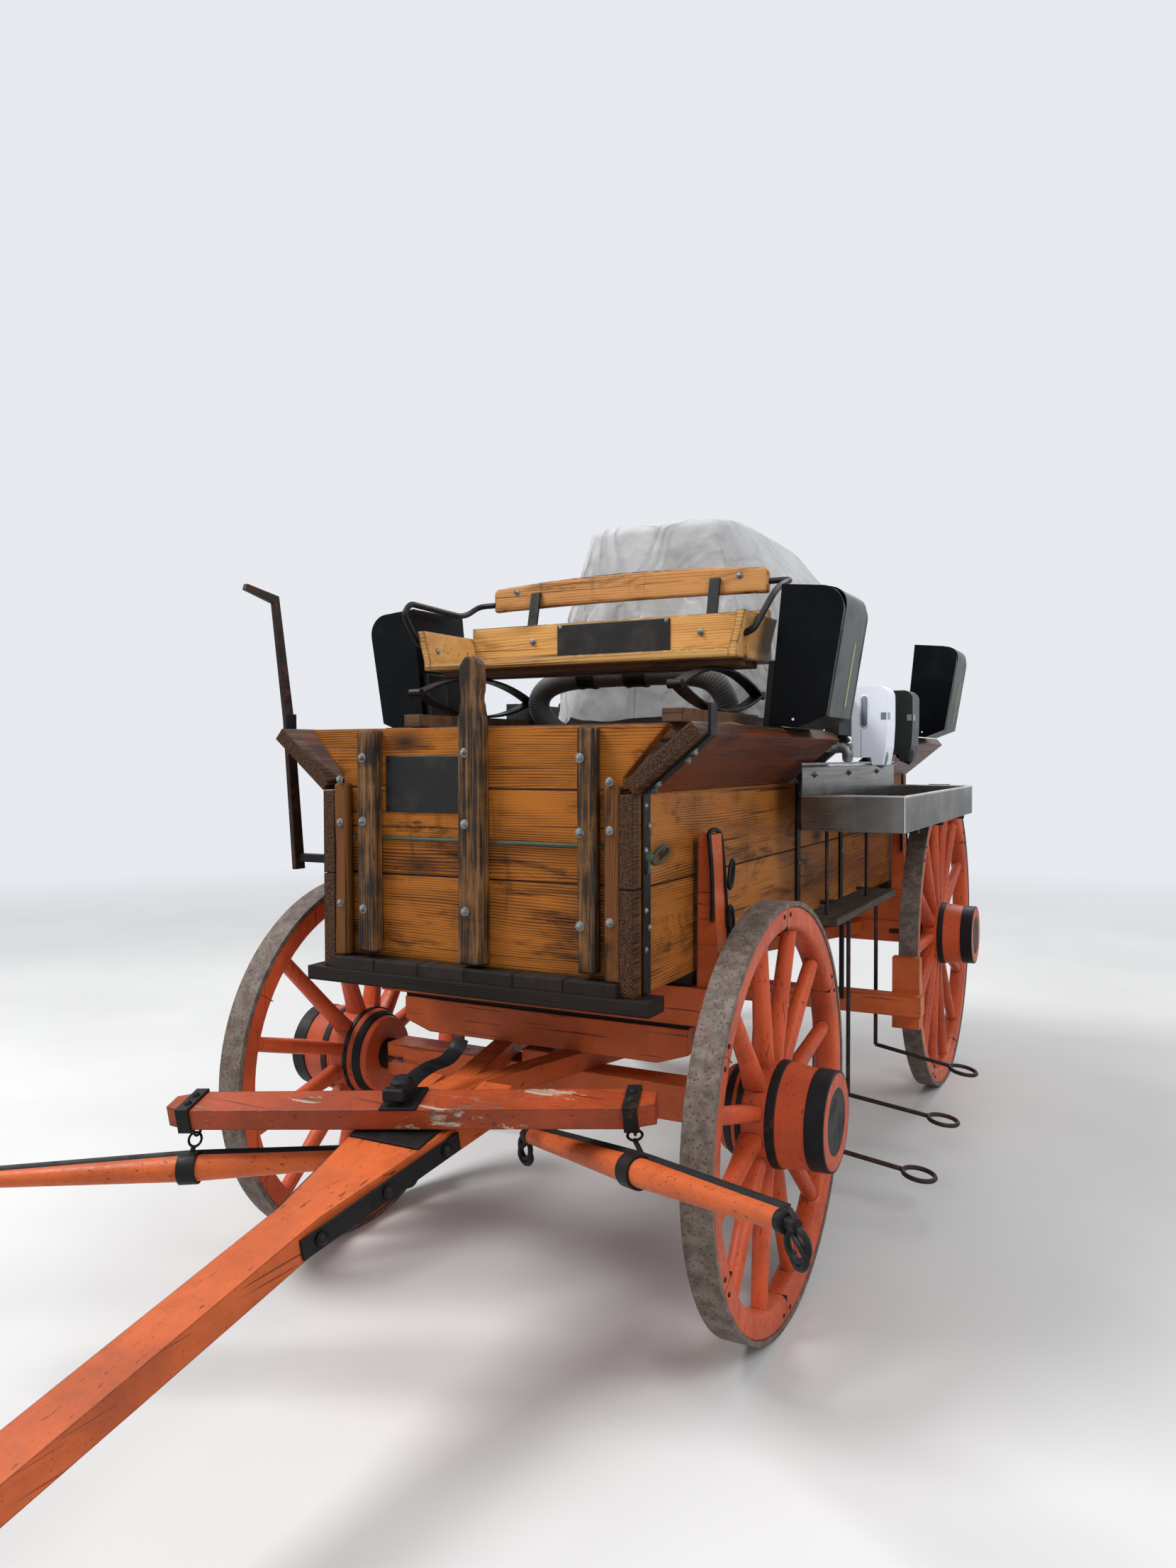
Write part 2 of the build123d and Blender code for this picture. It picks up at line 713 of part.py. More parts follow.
def arched_board(thickness):
    """The backrest, a board with both long edges arched and its upper corners rounded."""
    half = backrest_half_width
    low, high = backrest_bottom, backrest_top
    outline = [
        Line((-half, low), (-half, high)),
        ThreePointArc((-half, high), (0, high + backrest_top_arch), (half, high)),
        Line((half, high), (half, low)),
        ThreePointArc((half, low), (0, low + backrest_bottom_arch), (-half, low)),
    ]
    board = extrude(Plane.XZ * make_face(outline), thickness)
    return fillet(board.edges().filter_by(Axis.Y).group_by(Axis.Z)[-1], backrest_corner)


def make_seat():
    panel = seat_panel_thickness
    inner = seat_half_width - panel
    base = seat_top - seat_board_thickness
    end_top = seat_top + seat_end_height
    nodes["seat_board"] = [block(-inner, inner, seat_front_y, seat_rear_y - panel, base, seat_top)]
    back = block(-seat_half_width, seat_half_width, seat_rear_y - panel, seat_rear_y, base,
                 seat_top + seat_back_height)
    end = prism_y([(inner, base), (seat_half_width, base), (seat_half_width, seat_top),
                   (seat_half_width + seat_end_splay, end_top), (inner + seat_end_splay, end_top), (inner, seat_top)],
                  seat_front_y, seat_rear_y - panel)
    nodes["seat_panels"] = [back + end + mirrored(end)]
    rest_y = seat_rear_y + backrest_setback
    nodes["seat_backrest"] = [Pos(0, rest_y + panel, 0) * arched_board(panel)]
    straps = []
    for x in (-330, 330):
        foot = (x, seat_rear_y + 4, seat_top + 20)
        head = (x, rest_y - 4, backrest_top - 24)
        straps.append(flat_bar(foot, head, 36, 8, (1, 0, 0)))
    springs = []
    centre_y = (seat_front_y + seat_rear_y) / 2
    centre_z = 1624 + spring_half_height + leaf_thickness
    span = spring_half_length
    rise = spring_half_height
    bend = (span * span + rise * rise) / (2 * rise)
    for side in (1, -1):
        leaves = None
        for up in (1, -1):
            hoop = Cylinder(bend, leaf_width) - Cylinder(bend - leaf_thickness, leaf_width + 2)
            hoop = Pos(side * spring_x, centre_y, centre_z + up * (rise - bend)) * Rot(Y=90) * hoop
            keep = block(side * spring_x - 40, side * spring_x + 40, centre_y - span, centre_y + span,
                         centre_z - (0 if up > 0 else rise + 20), centre_z + (rise + 20 if up > 0 else 0))
            leaf = hoop & keep
            leaves = leaf if leaves is None else leaves + leaf
        for fore in (1, -1):
            y = centre_y + fore * span
            near = side * spring_x - leaf_width / 2
            leaves += rod((near, y, centre_z), (near + leaf_width, y, centre_z), spring_eye_radius)
        springs.append(leaves)
    rails = []
    for side, points in arm_rails:
        route = [(side * rail_x, y, z) for y, z in points]
        route[0] = (side * 545, points[0][0], points[0][1])
        route.insert(1, (side * rail_x, points[0][0] - 2, points[0][1] + 12))
        route.append((side * (backrest_half_width + 0.3), points[-1][0], points[-1][1]))
        path = FilletPolyline(*route, radius=corner_radii(route))
        start = Plane(origin=path @ 0, z_dir=path % 0)
        rails.append(sweep(start * RegularPolygon(rail_bar, rail_sides), path=path) - nodes["seat_panels"][0])
    nodes["seat_irons"] = springs + straps + rails
    risers = []
    spring_foot = centre_z - rise
    for side in (1, -1):
        risers.append(block(side * spring_x - 30, side * spring_x + 30, -60, 560, spring_foot - 38, spring_foot))
    bearers = []
    spring_head = centre_z + rise
    for y in (centre_y - 50, centre_y + 50):
        bearers.append(block(-seat_half_width + 20, seat_half_width - 20, y - 30, y + 30, spring_head,
                             seat_top - seat_board_thickness))
    cross = []
    for y in (20.0, 480.0):
        z0 = spring_foot - 38 - 45
        low_x = flare_inner_x(z0)
        high_x = flare_inner_x(z0 + 31)
        cross.append(prism_y([(-low_x, z0), (low_x, z0), (high_x, z0 + 31), (560, z0 + 45), (-560, z0 + 45),
                              (-high_x, z0 + 31)], y - 35, y + 35))
    nodes["seat_risers"] = risers + cross + bearers
    face = seat_rear_y - panel
    nodes["seat_plaque"] = [block(-198, 211, face - 3, face, seat_top + 14, seat_top + 132)]


# Tank and its canvas
def make_tank():
    half = tank_half_width
    body = block(-half, half, tank_front, tank_rear, floor_top, tank_shoulder)
    body = fillet(body.edges().filter_by(Axis.Z), 90)
    crown = block(-crown_half_width, crown_half_width, tank_front + 40, tank_rear - 80, tank_shoulder, tank_crown)
    nodes["water_tank"] = [body + crown]
    # place along the wagon, half width at the hem, at the shoulder and at the ridge, and their heights
    stations_table = (
        (740.0, 420.0, 385.0, 255.0, 1640.0, 2000.0, 2320.0),
        (1000.0, 560.0, 420.0, 270.0, 1640.0, 2140.0, 2335.0),
        (1250.0, 585.0, 430.0, 270.0, 1640.0, 2150.0, 2340.0),
        (1640.0, 585.0, 430.0, 250.0, 1640.0, 2150.0, 2345.0),
        (1900.0, 540.0, 400.0, 200.0, 1640.0, 2050.0, 2240.0),
    )
    faces = []
    for y, hem, shoulder, ridge, z_hem, z_shoulder, z_ridge in stations_table:
        points = [(-hem, y, z_hem), (hem, y, z_hem), (shoulder, y, z_shoulder), (ridge, y, z_ridge),
                  (-ridge, y, z_ridge), (-shoulder, y, z_shoulder)]
        faces.append(make_face(Polyline(*points, close=True)))
    cover = loft(faces, ruled=True)
    gap = 3.0
    cavity = block(-half - gap, half + gap, tank_front - gap, tank_rear + gap, 1500, tank_shoulder + gap)
    cavity += block(-crown_half_width - gap, crown_half_width + gap, tank_front + 40 - gap, tank_rear - 80 + gap,
                    2000, tank_crown + gap)
    nodes["canvas_cover"] = [cover - cavity]


# Hand-wash troughs
def make_sinks():
    t = sheet_metal
    outer = block(sink_inner_x, sink_outer_x, sink_front_y, sink_rear_y, sink_bottom, sink_rim)
    inner = block(sink_inner_x + t, sink_outer_x - t, sink_front_y + t, sink_rear_y - t, sink_bottom + t,
                  sink_rim + 1)
    splash = block(sink_inner_x, sink_inner_x + t, sink_front_y, sink_rear_y, sink_rim, backsplash_top)
    trough = (outer - inner) + splash
    nodes["sink_right"] = [trough]
    nodes["sink_left"] = [mirrored(trough)]
    shelf = block(shelf_inner_x, shelf_outer_x, sink_front_y - 10, sink_front_y + 850, shelf_bottom, shelf_top)
    nodes["shelf_boards"] = both_sides(shelf)
    irons = []
    hanger_x = (shelf_inner_x + shelf_outer_x) / 2 + 10
    for y in (sink_front_y + 50, sink_front_y + 590):
        irons += both_sides(rod((hanger_x, y, shelf_top), (hanger_x, y, sink_bottom), hanger_radius))
        irons += both_sides(block(box_half_width, shelf_inner_x + 5, y - 15, y + 15, shelf_bottom - 12, shelf_bottom))
    # place of each arm that carries the trough from the side boards
    for y in (sink_front_y + 330, sink_front_y + 810, sink_rear_y - 80):
        arm = block(box_half_width, sink_outer_x - 20, y - 15, y + 15, sink_bottom - 20, sink_bottom)
        irons += both_sides(arm)
    nodes["trough_irons"] = irons


# side, start along the wagon of each towel dispenser
towel_table = ((1, 288.0), (1, 2230.0), (-1, 212.0), (-1, 2230.0))


def make_dispensers():
    rail = block(600, 648, flare_front_end + 0.5, flare_rear_start - 0.5, 1572, 1706)
    posts = []
    for y in (flare_front_end + 120, flare_rear_start - 190):
        leaning = prism_y(flare_section(0.0), y, y + 34)
        upright = block(573.2, 600, y, y + 34, 1530, 1700)
        posts += both_sides(leaning + upright - block(600, 700, y - 1, y + 35, 1572, 1706))
    for side, y in towel_table:
        low, high = towel_x - 24, towel_x - 0.3
        lean = math.tan(math.radians(towel_lean))
        head = towel_base + 188.0
        shift = lean * 188.0
        stand = prism_y([(low, flare_inner_z(low)), (high, flare_inner_z(high)), (high, towel_base),
                         (high + shift, head), (low + shift, head), (low, towel_base)], y + 20, y + 120)
        posts.append(stand if side > 0 else mirrored(stand))
    nodes["dispenser_rails"] = both_sides(rail) + posts
    # node, place along the wagon, depth, bottom, top
    for name, y, depth, z0, z1 in (("white", 1000.0, 122.0, 1470.0, 1742.0), ("dark", 1457.0, 118.0, 1480.0, 1750.0)):
        x = soap_inner_x
        case = prism_y([(x, z0 + 26), (x + 66, z0 + 26), (x + 72, z0), (x + depth - 14, z0), (x + depth - 4, z0 + 60),
                        (x + depth, z0 + 130), (x + depth, z1), (x, z1)], y, y + soap_width)
        case = fillet(case.edges().filter_by(Axis.Y).group_by(Axis.Z)[-1], soap_corner)
        nodes["soap_dispensers_" + name] = both_sides(case)
    towels = []
    for side, y in towel_table:
        shell = prism_y([(0, 0), (towel_depth * 0.45, 0), (towel_depth - 25, 40), (towel_depth, towel_height),
                         (0, towel_height)], 0, towel_width)
        shell = fillet(shell.edges().filter_by(Axis.Y).group_by(Axis.Z)[-1].sort_by(Axis.X)[-1], towel_corner)
        shell = Pos(towel_x, y, towel_base) * Rot(Y=towel_lean) * shell
        towels.append(shell if side > 0 else mirrored(shell))
    nodes["towel_dispensers"] = towels


def corner_radii(route):
    """A bend radius for each inner point of a route, as large as its two runs allow."""
    radii = []
    for i in range(1, len(route) - 1):
        before = Vector(*route[i]) - Vector(*route[i - 1])
        after = Vector(*route[i + 1]) - Vector(*route[i])
        turn = math.radians(before.get_angle(after))
        radii.append(0.45 * min(before.length, after.length) / math.tan(turn / 2))
    return radii


def make_pipes():
    pipes = []
    for i in range(stations):
        y = first_station_y + i * station_pitch
        out = many_sided_rod((pipe_x, y, pipe_z), (spout_x + pipe_radius, y, pipe_z), pipe_radius, pipe_sides)
        spout = many_sided_rod((spout_x, y, pipe_z), (spout_x, y, spout_bottom), spout_radius, pipe_sides)
        pipes.append(out + spout)
    last_y = first_station_y + (stations - 1) * station_pitch
    middle_y = first_station_y + station_pitch
    main = many_sided_rod((pipe_x, first_station_y - 20, pipe_z), (pipe_x, last_y + 20, pipe_z), main_pipe_radius,
                          pipe_sides)
    main += many_sided_rod((tank_half_width + 0.3, middle_y, pipe_z), (pipe_x, middle_y, pipe_z), main_pipe_radius,
                           pipe_sides)
    for pipe in pipes:
        main += pipe
    nodes["faucet_pipes"] = both_sides(main)
    route = ((300, tank_front - 0.5, 1520), (300, 740, 1520), (345, 640, 1620), (320, 605, 1735), (230, 600, 1778),
             (-40, 600, 1780), (-300, 600, 1772), (-385, 605, 1700), (-340, 620, 1610), (-240, 660, 1550),
             (-200, 740, 1480), (-200, tank_front - 0.5, 1480))
    hose_path = FilletPolyline(*route, radius=corner_radii(route))
    start = Plane(origin=hose_path @ 0, z_dir=hose_path % 0)
    nodes["suction_hose"] = [sweep(start * RegularPolygon(hose_radius, hose_sides), path=hose_path)]


def make_pedals():
    pieces = []
    # place along the wagon, height at the hinge, height at the foot
    for y, z_in, z_out in ((880.0, 175.0, 122.0), (1337.0, 216.0, 165.0), (1794.0, 300.0, 230.0)):
        bar_end = pedal_loop_x - pedal_loop_radius - 3
        drop = (z_out - z_in) * (bar_end - pedal_x) / 400.0
        tilt = math.degrees(math.atan2(z_in - z_out, 400.0))
        bar = rod((pedal_x, y, z_in), (bar_end, y, z_in + drop), pedal_bar)
        loop = Pos(pedal_loop_x, y, z_out + 6) * Rot(Y=tilt) * ring(pedal_loop_radius, pedal_bar)
        hanger = rod((pedal_x, y, z_in), (pedal_x, y, sill_bottom + 70), pedal_bar)
        hanger += block(box_half_width, pedal_x + 14, y - 15, y + 15, sill_bottom + 64, sill_bottom + 74)
        pieces += both_sides(loop + bar + hanger)
    nodes["trough_irons"] += pieces


def make_brake():
    y = wheelbase - brake_setback
    beam = block(-brake_half_length, brake_half_length, y - 40, y + 40, 468, 548)
    pad = block(half_track - 51, half_track + 56, y + 30, y + 115, 404, 690)
    pad -= Pos(half_track, wheelbase, rear_axle_z) * Rot(Y=90) * Cylinder(rear_wheel_radius + 8, 300)
    nodes["brake_beam"] = [beam + pad + mirrored(pad)]
    nodes["brake_lever"] = [
        prism_x([(-270, 1165), (-230, 1165), (-272, 1616), (-330, 1975), (-456, 1995), (-462, 1978), (-350, 1952),
                 (-305, 1616)], brake_lever_x - 7, brake_lever_x + 7)
    ]
    hangers = []
    for side in (1, -1):
        hangers.append(block(side * 460 - 8, side * 460 + 8, y - 60, y - 40, 520, floor_bottom))
    nodes["gear_irons"] += hangers
    pivot_y, pivot_z = brake_pivot_y, brake_pivot_z
    shoulder = brake_lever_x + 8
    bracket = block(shoulder, -box_half_width, pivot_y - 12, pivot_y + 12, pivot_z - 12, pivot_z + 12)
    pivot = rod((brake_lever_x - 11, pivot_y, pivot_z), (shoulder, pivot_y, pivot_z), 10)
    nodes["gear_irons"] += [bracket + pivot]
    eye = rod((brake_lever_x - 25, pivot_y, pivot_z), (brake_lever_x + 15, pivot_y, pivot_z), 10.3)
    nodes["brake_lever"] = [nodes["brake_lever"][0] - eye]


make_wheels()
make_axles()
make_front_gear()
make_tongue()
make_doubletree()
make_singletrees()
make_rear_gear()
make_floor()
make_sides()
make_flares()
make_gates()
make_side_irons()
make_seat()
make_tank()
make_sinks()
make_dispensers()
make_pipes()
make_pedals()
make_brake()

os.makedirs("parts", exist_ok=True)
for node, shapes in nodes.items():
    solids = []
    for shape in shapes:
        solids += (Pos(0, front_axle_y, 0) * shape).solids()
    piece = solids[0] if len(solids) == 1 else Compound(children=solids)
    export_step(piece, "parts/" + node + ".step")
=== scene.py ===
"""Looks of a horse-drawn water wagon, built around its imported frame."""
from math import atan2, copysign, cos, pi, radians, sin, tan

import bmesh
import bpy
from mathutils import Matrix, Vector, noise


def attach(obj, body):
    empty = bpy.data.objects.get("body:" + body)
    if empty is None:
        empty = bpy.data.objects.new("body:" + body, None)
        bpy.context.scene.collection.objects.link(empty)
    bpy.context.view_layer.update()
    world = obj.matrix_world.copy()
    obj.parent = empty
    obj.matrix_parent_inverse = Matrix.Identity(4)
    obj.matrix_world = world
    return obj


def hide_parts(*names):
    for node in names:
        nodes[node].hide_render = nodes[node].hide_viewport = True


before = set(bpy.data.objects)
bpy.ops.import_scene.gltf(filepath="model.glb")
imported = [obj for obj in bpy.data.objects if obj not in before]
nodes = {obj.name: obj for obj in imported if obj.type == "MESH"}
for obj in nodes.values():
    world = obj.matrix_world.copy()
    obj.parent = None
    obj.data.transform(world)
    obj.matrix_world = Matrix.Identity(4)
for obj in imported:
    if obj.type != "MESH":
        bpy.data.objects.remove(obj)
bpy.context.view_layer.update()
scene = bpy.context.scene

FRONT_AXLE_Y = 0.1695
HALF_TRACK = 0.696
TYRE_THICKNESS = 0.0143
SIDES = (("right", 1), ("left", -1))
FORE = (0, -1, 0)
WHEELS = (
    # name, side, along, radius, spokes
    ("front_right", 1, 0, 0.559, 12),
    ("front_left", -1, 0, 0.559, 12),
    ("rear_right", 1, 2.435, 0.686, 14),
    ("rear_left", -1, 2.435, 0.686, 14),
)


def at(x, y, z):
    """A place in metres, from millimetres with y measured from the front axle."""
    return Vector((x / 1000, y / 1000 + FRONT_AXLE_Y, z / 1000))


def srgb(colour):
    """A colour as it is seen on a screen, 0 to 255, as the shader wants it."""
    out = []
    for c in colour:
        c /= 255
        out.append(c / 12.92 if c <= 0.04045 else ((c + 0.055) / 1.055) ** 2.4)
    return (*out, 1)


def dimmed(colour, factor):
    """A colour, 0 to 255, as the shader wants it, times a factor."""
    return (*[c * factor for c in srgb(colour)[:3]], 1)


# Materials
class Nodes:
    """A node tree with a short way to add nodes."""

    def __init__(self, tree):
        self.tree = tree

    def feed(self, socket, value):
        """Link or set an input. A colour of three numbers is 0 to 255."""
        if isinstance(value, bpy.types.NodeSocket):
            self.tree.links.new(value, socket)
        elif socket.type == "RGBA" and len(value) == 3:
            socket.default_value = srgb(value)
        else:
            socket.default_value = value

    def new(self, kind, values=None, **settings):
        """A node with its settings, then its inputs by number or name."""
        node = self.tree.nodes.new("ShaderNode" + kind)
        for key, value in settings.items():
            setattr(node, key, value)
        for key, value in (values or {}).items():
            self.feed(node.inputs[key], value)
        return node

    def maths(self, operation, a, b=0):
        return self.new("Math", {0: a, 1: b}, operation=operation).outputs[0]


class Shader(Nodes):
    """A principled material with short names for the nodes that it uses."""

    def __init__(self, name):
        self.material = bpy.data.materials.new(name)
        self.material.use_nodes = True
        super().__init__(self.material.node_tree)
        self.bsdf = self.tree.nodes["Principled BSDF"]
        self.place = self.new("TexCoord").outputs["Object"]

    def plus(self, a, b):
        return self.maths("ADD", a, b)

    def minus(self, a, b):
        return self.maths("SUBTRACT", a, b)

    def times(self, a, b):
        return self.maths("MULTIPLY", a, b)

    def stretched(self, scale, shift=(0, 0, 0)):
        """The place times one scale, or one for each axis."""
        scale = scale if isinstance(scale, tuple) else (scale, scale, scale)
        values = {0: self.place, 1: scale, 2: shift}
        return self.new("VectorMath", values, operation="MULTIPLY_ADD").outputs[0]

    def noise(self, scale, detail=4, rough=0.55, warp=0, shift=(0, 0, 0)):
        values = {"Vector": self.stretched(scale, shift), "Scale": 1, "Detail": detail,
                  "Roughness": rough, "Distortion": warp}
        return self.new("TexNoise", values).outputs["Fac"]

    def cells(self, scale):
        values = {"Vector": self.stretched(scale), "Scale": 1, "Randomness": 1}
        return self.new("TexVoronoi", values).outputs["Distance"]

    def ramp(self, value, low, high, out_low=0, out_high=1):
        values = {"Value": value, "From Min": low, "From Max": high, "To Min": out_low, "To Max": out_high}
        return self.new("MapRange", values, interpolation_type="SMOOTHSTEP").outputs["Result"]

    def patches(self, scale, detail, rough, *levels):
        """Noise cut between two levels."""
        return self.ramp(self.noise(scale, detail, rough), *levels)

    def mix(self, factor, a, b, blend="MIX"):
        values = {"Factor": factor, "A": a, "B": b}
        return self.new("Mix", values, data_type="RGBA", blend_type=blend).outputs["Result"]

    def over(self, base, mask, amount, colour):
        """A colour laid over a base where a mask is, by an amount."""
        return self.mix(self.times(mask, amount), base, colour)

    def axis_value(self, axis):
        return self.new("SeparateXYZ", {0: self.place}).outputs[axis]

    def edges(self, radius, low=0.02, high=0.3):
        """1 along sharp edges, 0 on flat faces, with the rounded normal."""
        round_normal = self.new("Bevel", {"Radius": radius}, samples=4).outputs[0]
        true_normal = self.new("NewGeometry").outputs["True Normal"]
        dot = self.new("VectorMath", {0: round_normal, 1: true_normal}, operation="DOT_PRODUCT")
        return self.ramp(self.minus(1, dot.outputs["Value"]), low, high), round_normal

    def finish(self, colour, rough, height=None, strength=0.4, distance=0.002, normal=None, metal=0,
               shine=None):
        self.feed(self.bsdf.inputs["Base Color"], colour)
        self.feed(self.bsdf.inputs["Roughness"], rough)
        self.bsdf.inputs["Metallic"].default_value = metal
        if shine is not None:
            self.bsdf.inputs["Specular IOR Level"].default_value = shine
        if height is not None:
            values = {"Strength": strength, "Distance": distance, "Height": height}
            bump = self.new("Bump", values)
            if normal is not None:
                self.feed(bump.inputs["Normal"], normal)
            normal = bump.outputs[0]
        if normal is not None:
            self.feed(self.bsdf.inputs["Normal"], normal)
        return self.material


def along(grain, low, high):
    """Noise scale, low along the grain and high across it."""
    return tuple(low if axis == grain else high for axis in "XYZ")


def boards_shift(s, seams):
    """For boards between seams: a shift of the grain, a tint, and 1 along the seams."""
    if not seams:
        return (0, 0, 0), 0.5, 0
    axis, places = seams
    value = s.axis_value(axis)
    count, line = 0, 0
    for place in places:
        count = s.plus(s.maths("GREATER_THAN", value, place), count)
        near = s.maths("ABSOLUTE", s.minus(value, place))
        line = s.maths("MAXIMUM", s.ramp(near, 0.0012, 0.0042, 1, 0), line)
    steps = {i: s.times(count, step) for i, step in enumerate((7.3, 11.7, 5.9))}
    shift = s.new("CombineXYZ", steps).outputs[0]
    hue = s.new("TexWhiteNoise", noise_dimensions="1D")
    s.feed(hue.inputs["W"], s.plus(count, 0.37))
    return shift, hue.outputs["Value"], line


def wood(name, grain, light, dark, stain=0.5, edge=0.8, gloss=0.5, spread=0.18, weather=0, rings=900,
         seams=None, old_ends=(), rim_width=0.009):
    """Boards with growth rings, knots, stains and worn edges.

    The old_ends are (axis, from, to) of stretches that have gone dark."""
    s = Shader(name)
    shift, hue, seam = boards_shift(s, seams)
    across = s.plus(*[s.axis_value(axis) for axis in "XYZ" if axis != grain])
    wander = s.noise(along(grain, 0.55, 4.5), 3, 0.5, 0.2, shift)
    phase = s.plus(s.times(across, rings), s.times(wander, 70))
    ring = s.ramp(s.maths("SINE", phase), -0.5, 1)
    fine = s.noise(along(grain, 3.5, 230), 4, 0.65, 0, shift)
    cloud = s.noise(along(grain, 1.4, 7), 5, 0.6, 0.4, shift)
    rings_seen = s.times(ring, s.ramp(cloud, 0.25, 0.75, 0.35, 1))
    tone = s.plus(s.times(rings_seen, 0.4), s.times(fine, 0.42))
    tone = s.plus(tone, s.times(s.ramp(cloud, 0.35, 0.7), 0.3))
    colour = s.mix(s.ramp(tone, 0.2, 0.95), light, dark)
    tint = s.ramp(hue, 0, 1, 1 - spread, 1 + spread)
    grey_tint = s.new("CombineXYZ", {0: tint, 1: tint, 2: tint}).outputs[0]
    colour = s.mix(1, colour, grey_tint, "MULTIPLY")
    deep = dimmed(dark, 0.2)
    blotch = s.ramp(s.noise(along(grain, 2.2, 9), 6, 0.7, 0.9, shift), 0.52, 0.66)
    colour = s.over(colour, s.times(blotch, s.ramp(fine, 0.3, 0.6, 0.3, 1)), stain, deep)
    run = s.noise(along("Z", 3, 22), 4, 0.6, 0.3)
    colour = s.over(colour, s.ramp(run, 0.6, 0.8), stain * 0.7, deep)
    knot = s.cells(along(grain, 2.3, 5.2))
    colour = s.mix(s.ramp(knot, 0.07, 0.24, 0.8, 0), colour, dark)
    ragged_core = s.plus(knot, s.times(fine, 0.06))
    colour = s.over(colour, s.ramp(ragged_core, 0.075, 0.125, 1, 0), 0.85, (30, 17, 10))
    cracks = s.ramp(s.noise(along(grain, 1.2, 120), 2, 0.5, 0, shift), 0.66, 0.69)
    colour = s.over(colour, cracks, 0.8, (24, 15, 10))
    if weather:
        grey = s.patches(along(grain, 2, 30), 5, 0.7, 0.35, 0.7)
        colour = s.over(colour, grey, weather, (112, 102, 92))
    for axis, start, end in old_ends:
        old = s.mix(s.ramp(fine, 0.32, 0.62), (98, 64, 38), (30, 20, 14))
        colour = s.mix(s.ramp(s.axis_value(axis), start, end), colour, old)
    colour = s.over(colour, seam, 0.85, (20, 13, 9))
    rim, normal = s.edges(rim_width)
    rim = s.times(s.times(rim, s.patches(34, 5, 0.75, 0.38, 0.52)), edge)
    colour = s.mix(rim, colour, (27, 21, 17))
    height = s.minus(s.times(tone, -0.6), s.times(cracks, 1.5))
    height = s.minus(height, s.times(rim, 1.2))
    rough = s.ramp(fine, 0.2, 0.8, gloss - 0.1, gloss + 0.18)
    return s.finish(colour, rough, height, 0.55, 0.0018, normal, shine=0.18)


def weathered(name, grain, light, dark):
    """Bare timber gone black in streaks, with worn pale places."""
    s = Shader(name)
    fine = s.noise(along(grain, 3, 150), 5, 0.7)
    broad = s.noise(along(grain, 3.5, 34), 5, 0.65, 0.5)
    tone = s.plus(s.times(fine, 0.45), s.times(broad, 0.4))
    tone = s.plus(tone, s.times(s.noise(9, 4, 0.6), 0.3))
    colour = s.mix(s.ramp(tone, 0.46, 0.62), light, dark)
    black = s.ramp(tone, 0.58, 0.65)
    colour = s.over(colour, black, 0.85, (20, 17, 15))
    grey = s.patches(along(grain, 2, 60), 4, 0.7, 0.58, 0.72)
    colour = s.over(colour, grey, 0.35, (132, 118, 100))
    rim, normal = s.edges(0.01, 0.015, 0.2)
    ragged = s.patches(30, 5, 0.75, 0.36, 0.5)
    colour = s.over(colour, s.times(rim, ragged), 0.9, (22, 19, 16))
    height = s.plus(s.times(fine, -1), s.times(black, -0.6))
    rough = s.ramp(fine, 0.2, 0.8, 0.5, 0.75)
    return s.finish(colour, rough, height, 0.7, 0.002, normal, shine=0.3)


def paint(name, colour, grain, chips=0.5, dirt=0.35, bare=0):
    """Old gloss paint over grained timber, chipped along its edges, with bare pale patches."""
    s = Shader(name)
    linear = srgb(colour)
    under = (70, 42, 28)
    dull = dimmed(colour, 0.72)
    bright = (min(1, linear[0] * 1.1), linear[1] * 1.15, linear[2] * 1.15, 1)
    tone = s.mix(s.patches(3.1, 4, 0.6, 0.3, 0.7), dull, bright)
    streak = s.noise(along(grain, 2.5, 75), 4, 0.65)
    tone = s.mix(s.ramp(streak, 0.42, 0.75, 0, 0.4), tone, dull)
    tone = s.mix(s.patches(160, 2, 0.5, 0.64, 0.72, 0, 0.5), tone, under)
    rim, normal = s.edges(0.007)
    ragged = s.noise(38, 5, 0.75)
    wear = s.ramp(s.plus(s.times(rim, 0.34), ragged), 0.79 - 0.1 * chips, 0.84 - 0.1 * chips)
    tone = s.mix(wear, tone, under)
    crack = s.patches(along(grain, 3, 120), 2, 0.5, 0.66, 0.7)
    tone = s.over(tone, crack, 0.7, (60, 24, 14))
    tone = s.mix(s.patches(7, 5, 0.7, 0.5, 0.8, 0, dirt), tone, (66, 36, 24))
    if bare:
        patch = s.patches(along(grain, 5, 16), 5, 0.7, 0.6, 0.63, 0, bare)
        timber = s.mix(s.ramp(streak, 0.35, 0.6), (196, 178, 158), (92, 62, 44))
        tone = s.mix(patch, tone, timber)
    height = s.plus(s.times(streak, 0.6), s.times(s.plus(wear, crack), -0.5))
    return s.finish(tone, s.ramp(ragged, 0.3, 0.8, 0.34, 0.67), height, 0.35, 0.0015, normal, shine=0.28)


def iron(name, colour, rust=0.35, gloss=0.45):
    """Black painted or bare wrought iron with rust and pits."""
    s = Shader(name)
    base = s.mix(s.patches(30, 4, 0.6, 0.3, 0.7), colour, dimmed(colour, 1.9))
    rim, normal = s.edges(0.005)
    spread = s.plus(s.noise(14, 6, 0.7), s.times(rim, 0.12))
    mask = s.ramp(spread, 0.72 - 0.3 * rust, 0.84 - 0.3 * rust)
    tone = s.mix(s.patches(60, 3, 0.6, 0.35, 0.65), (96, 52, 30), (58, 40, 32))
    rough = s.ramp(spread, 0.4, 0.8, gloss, gloss + 0.35)
    pits = s.noise(95, 3, 0.6)
    return s.finish(s.over(base, mask, 0.8, tone), rough, pits, 0.35, 0.0012, normal, shine=0.22)


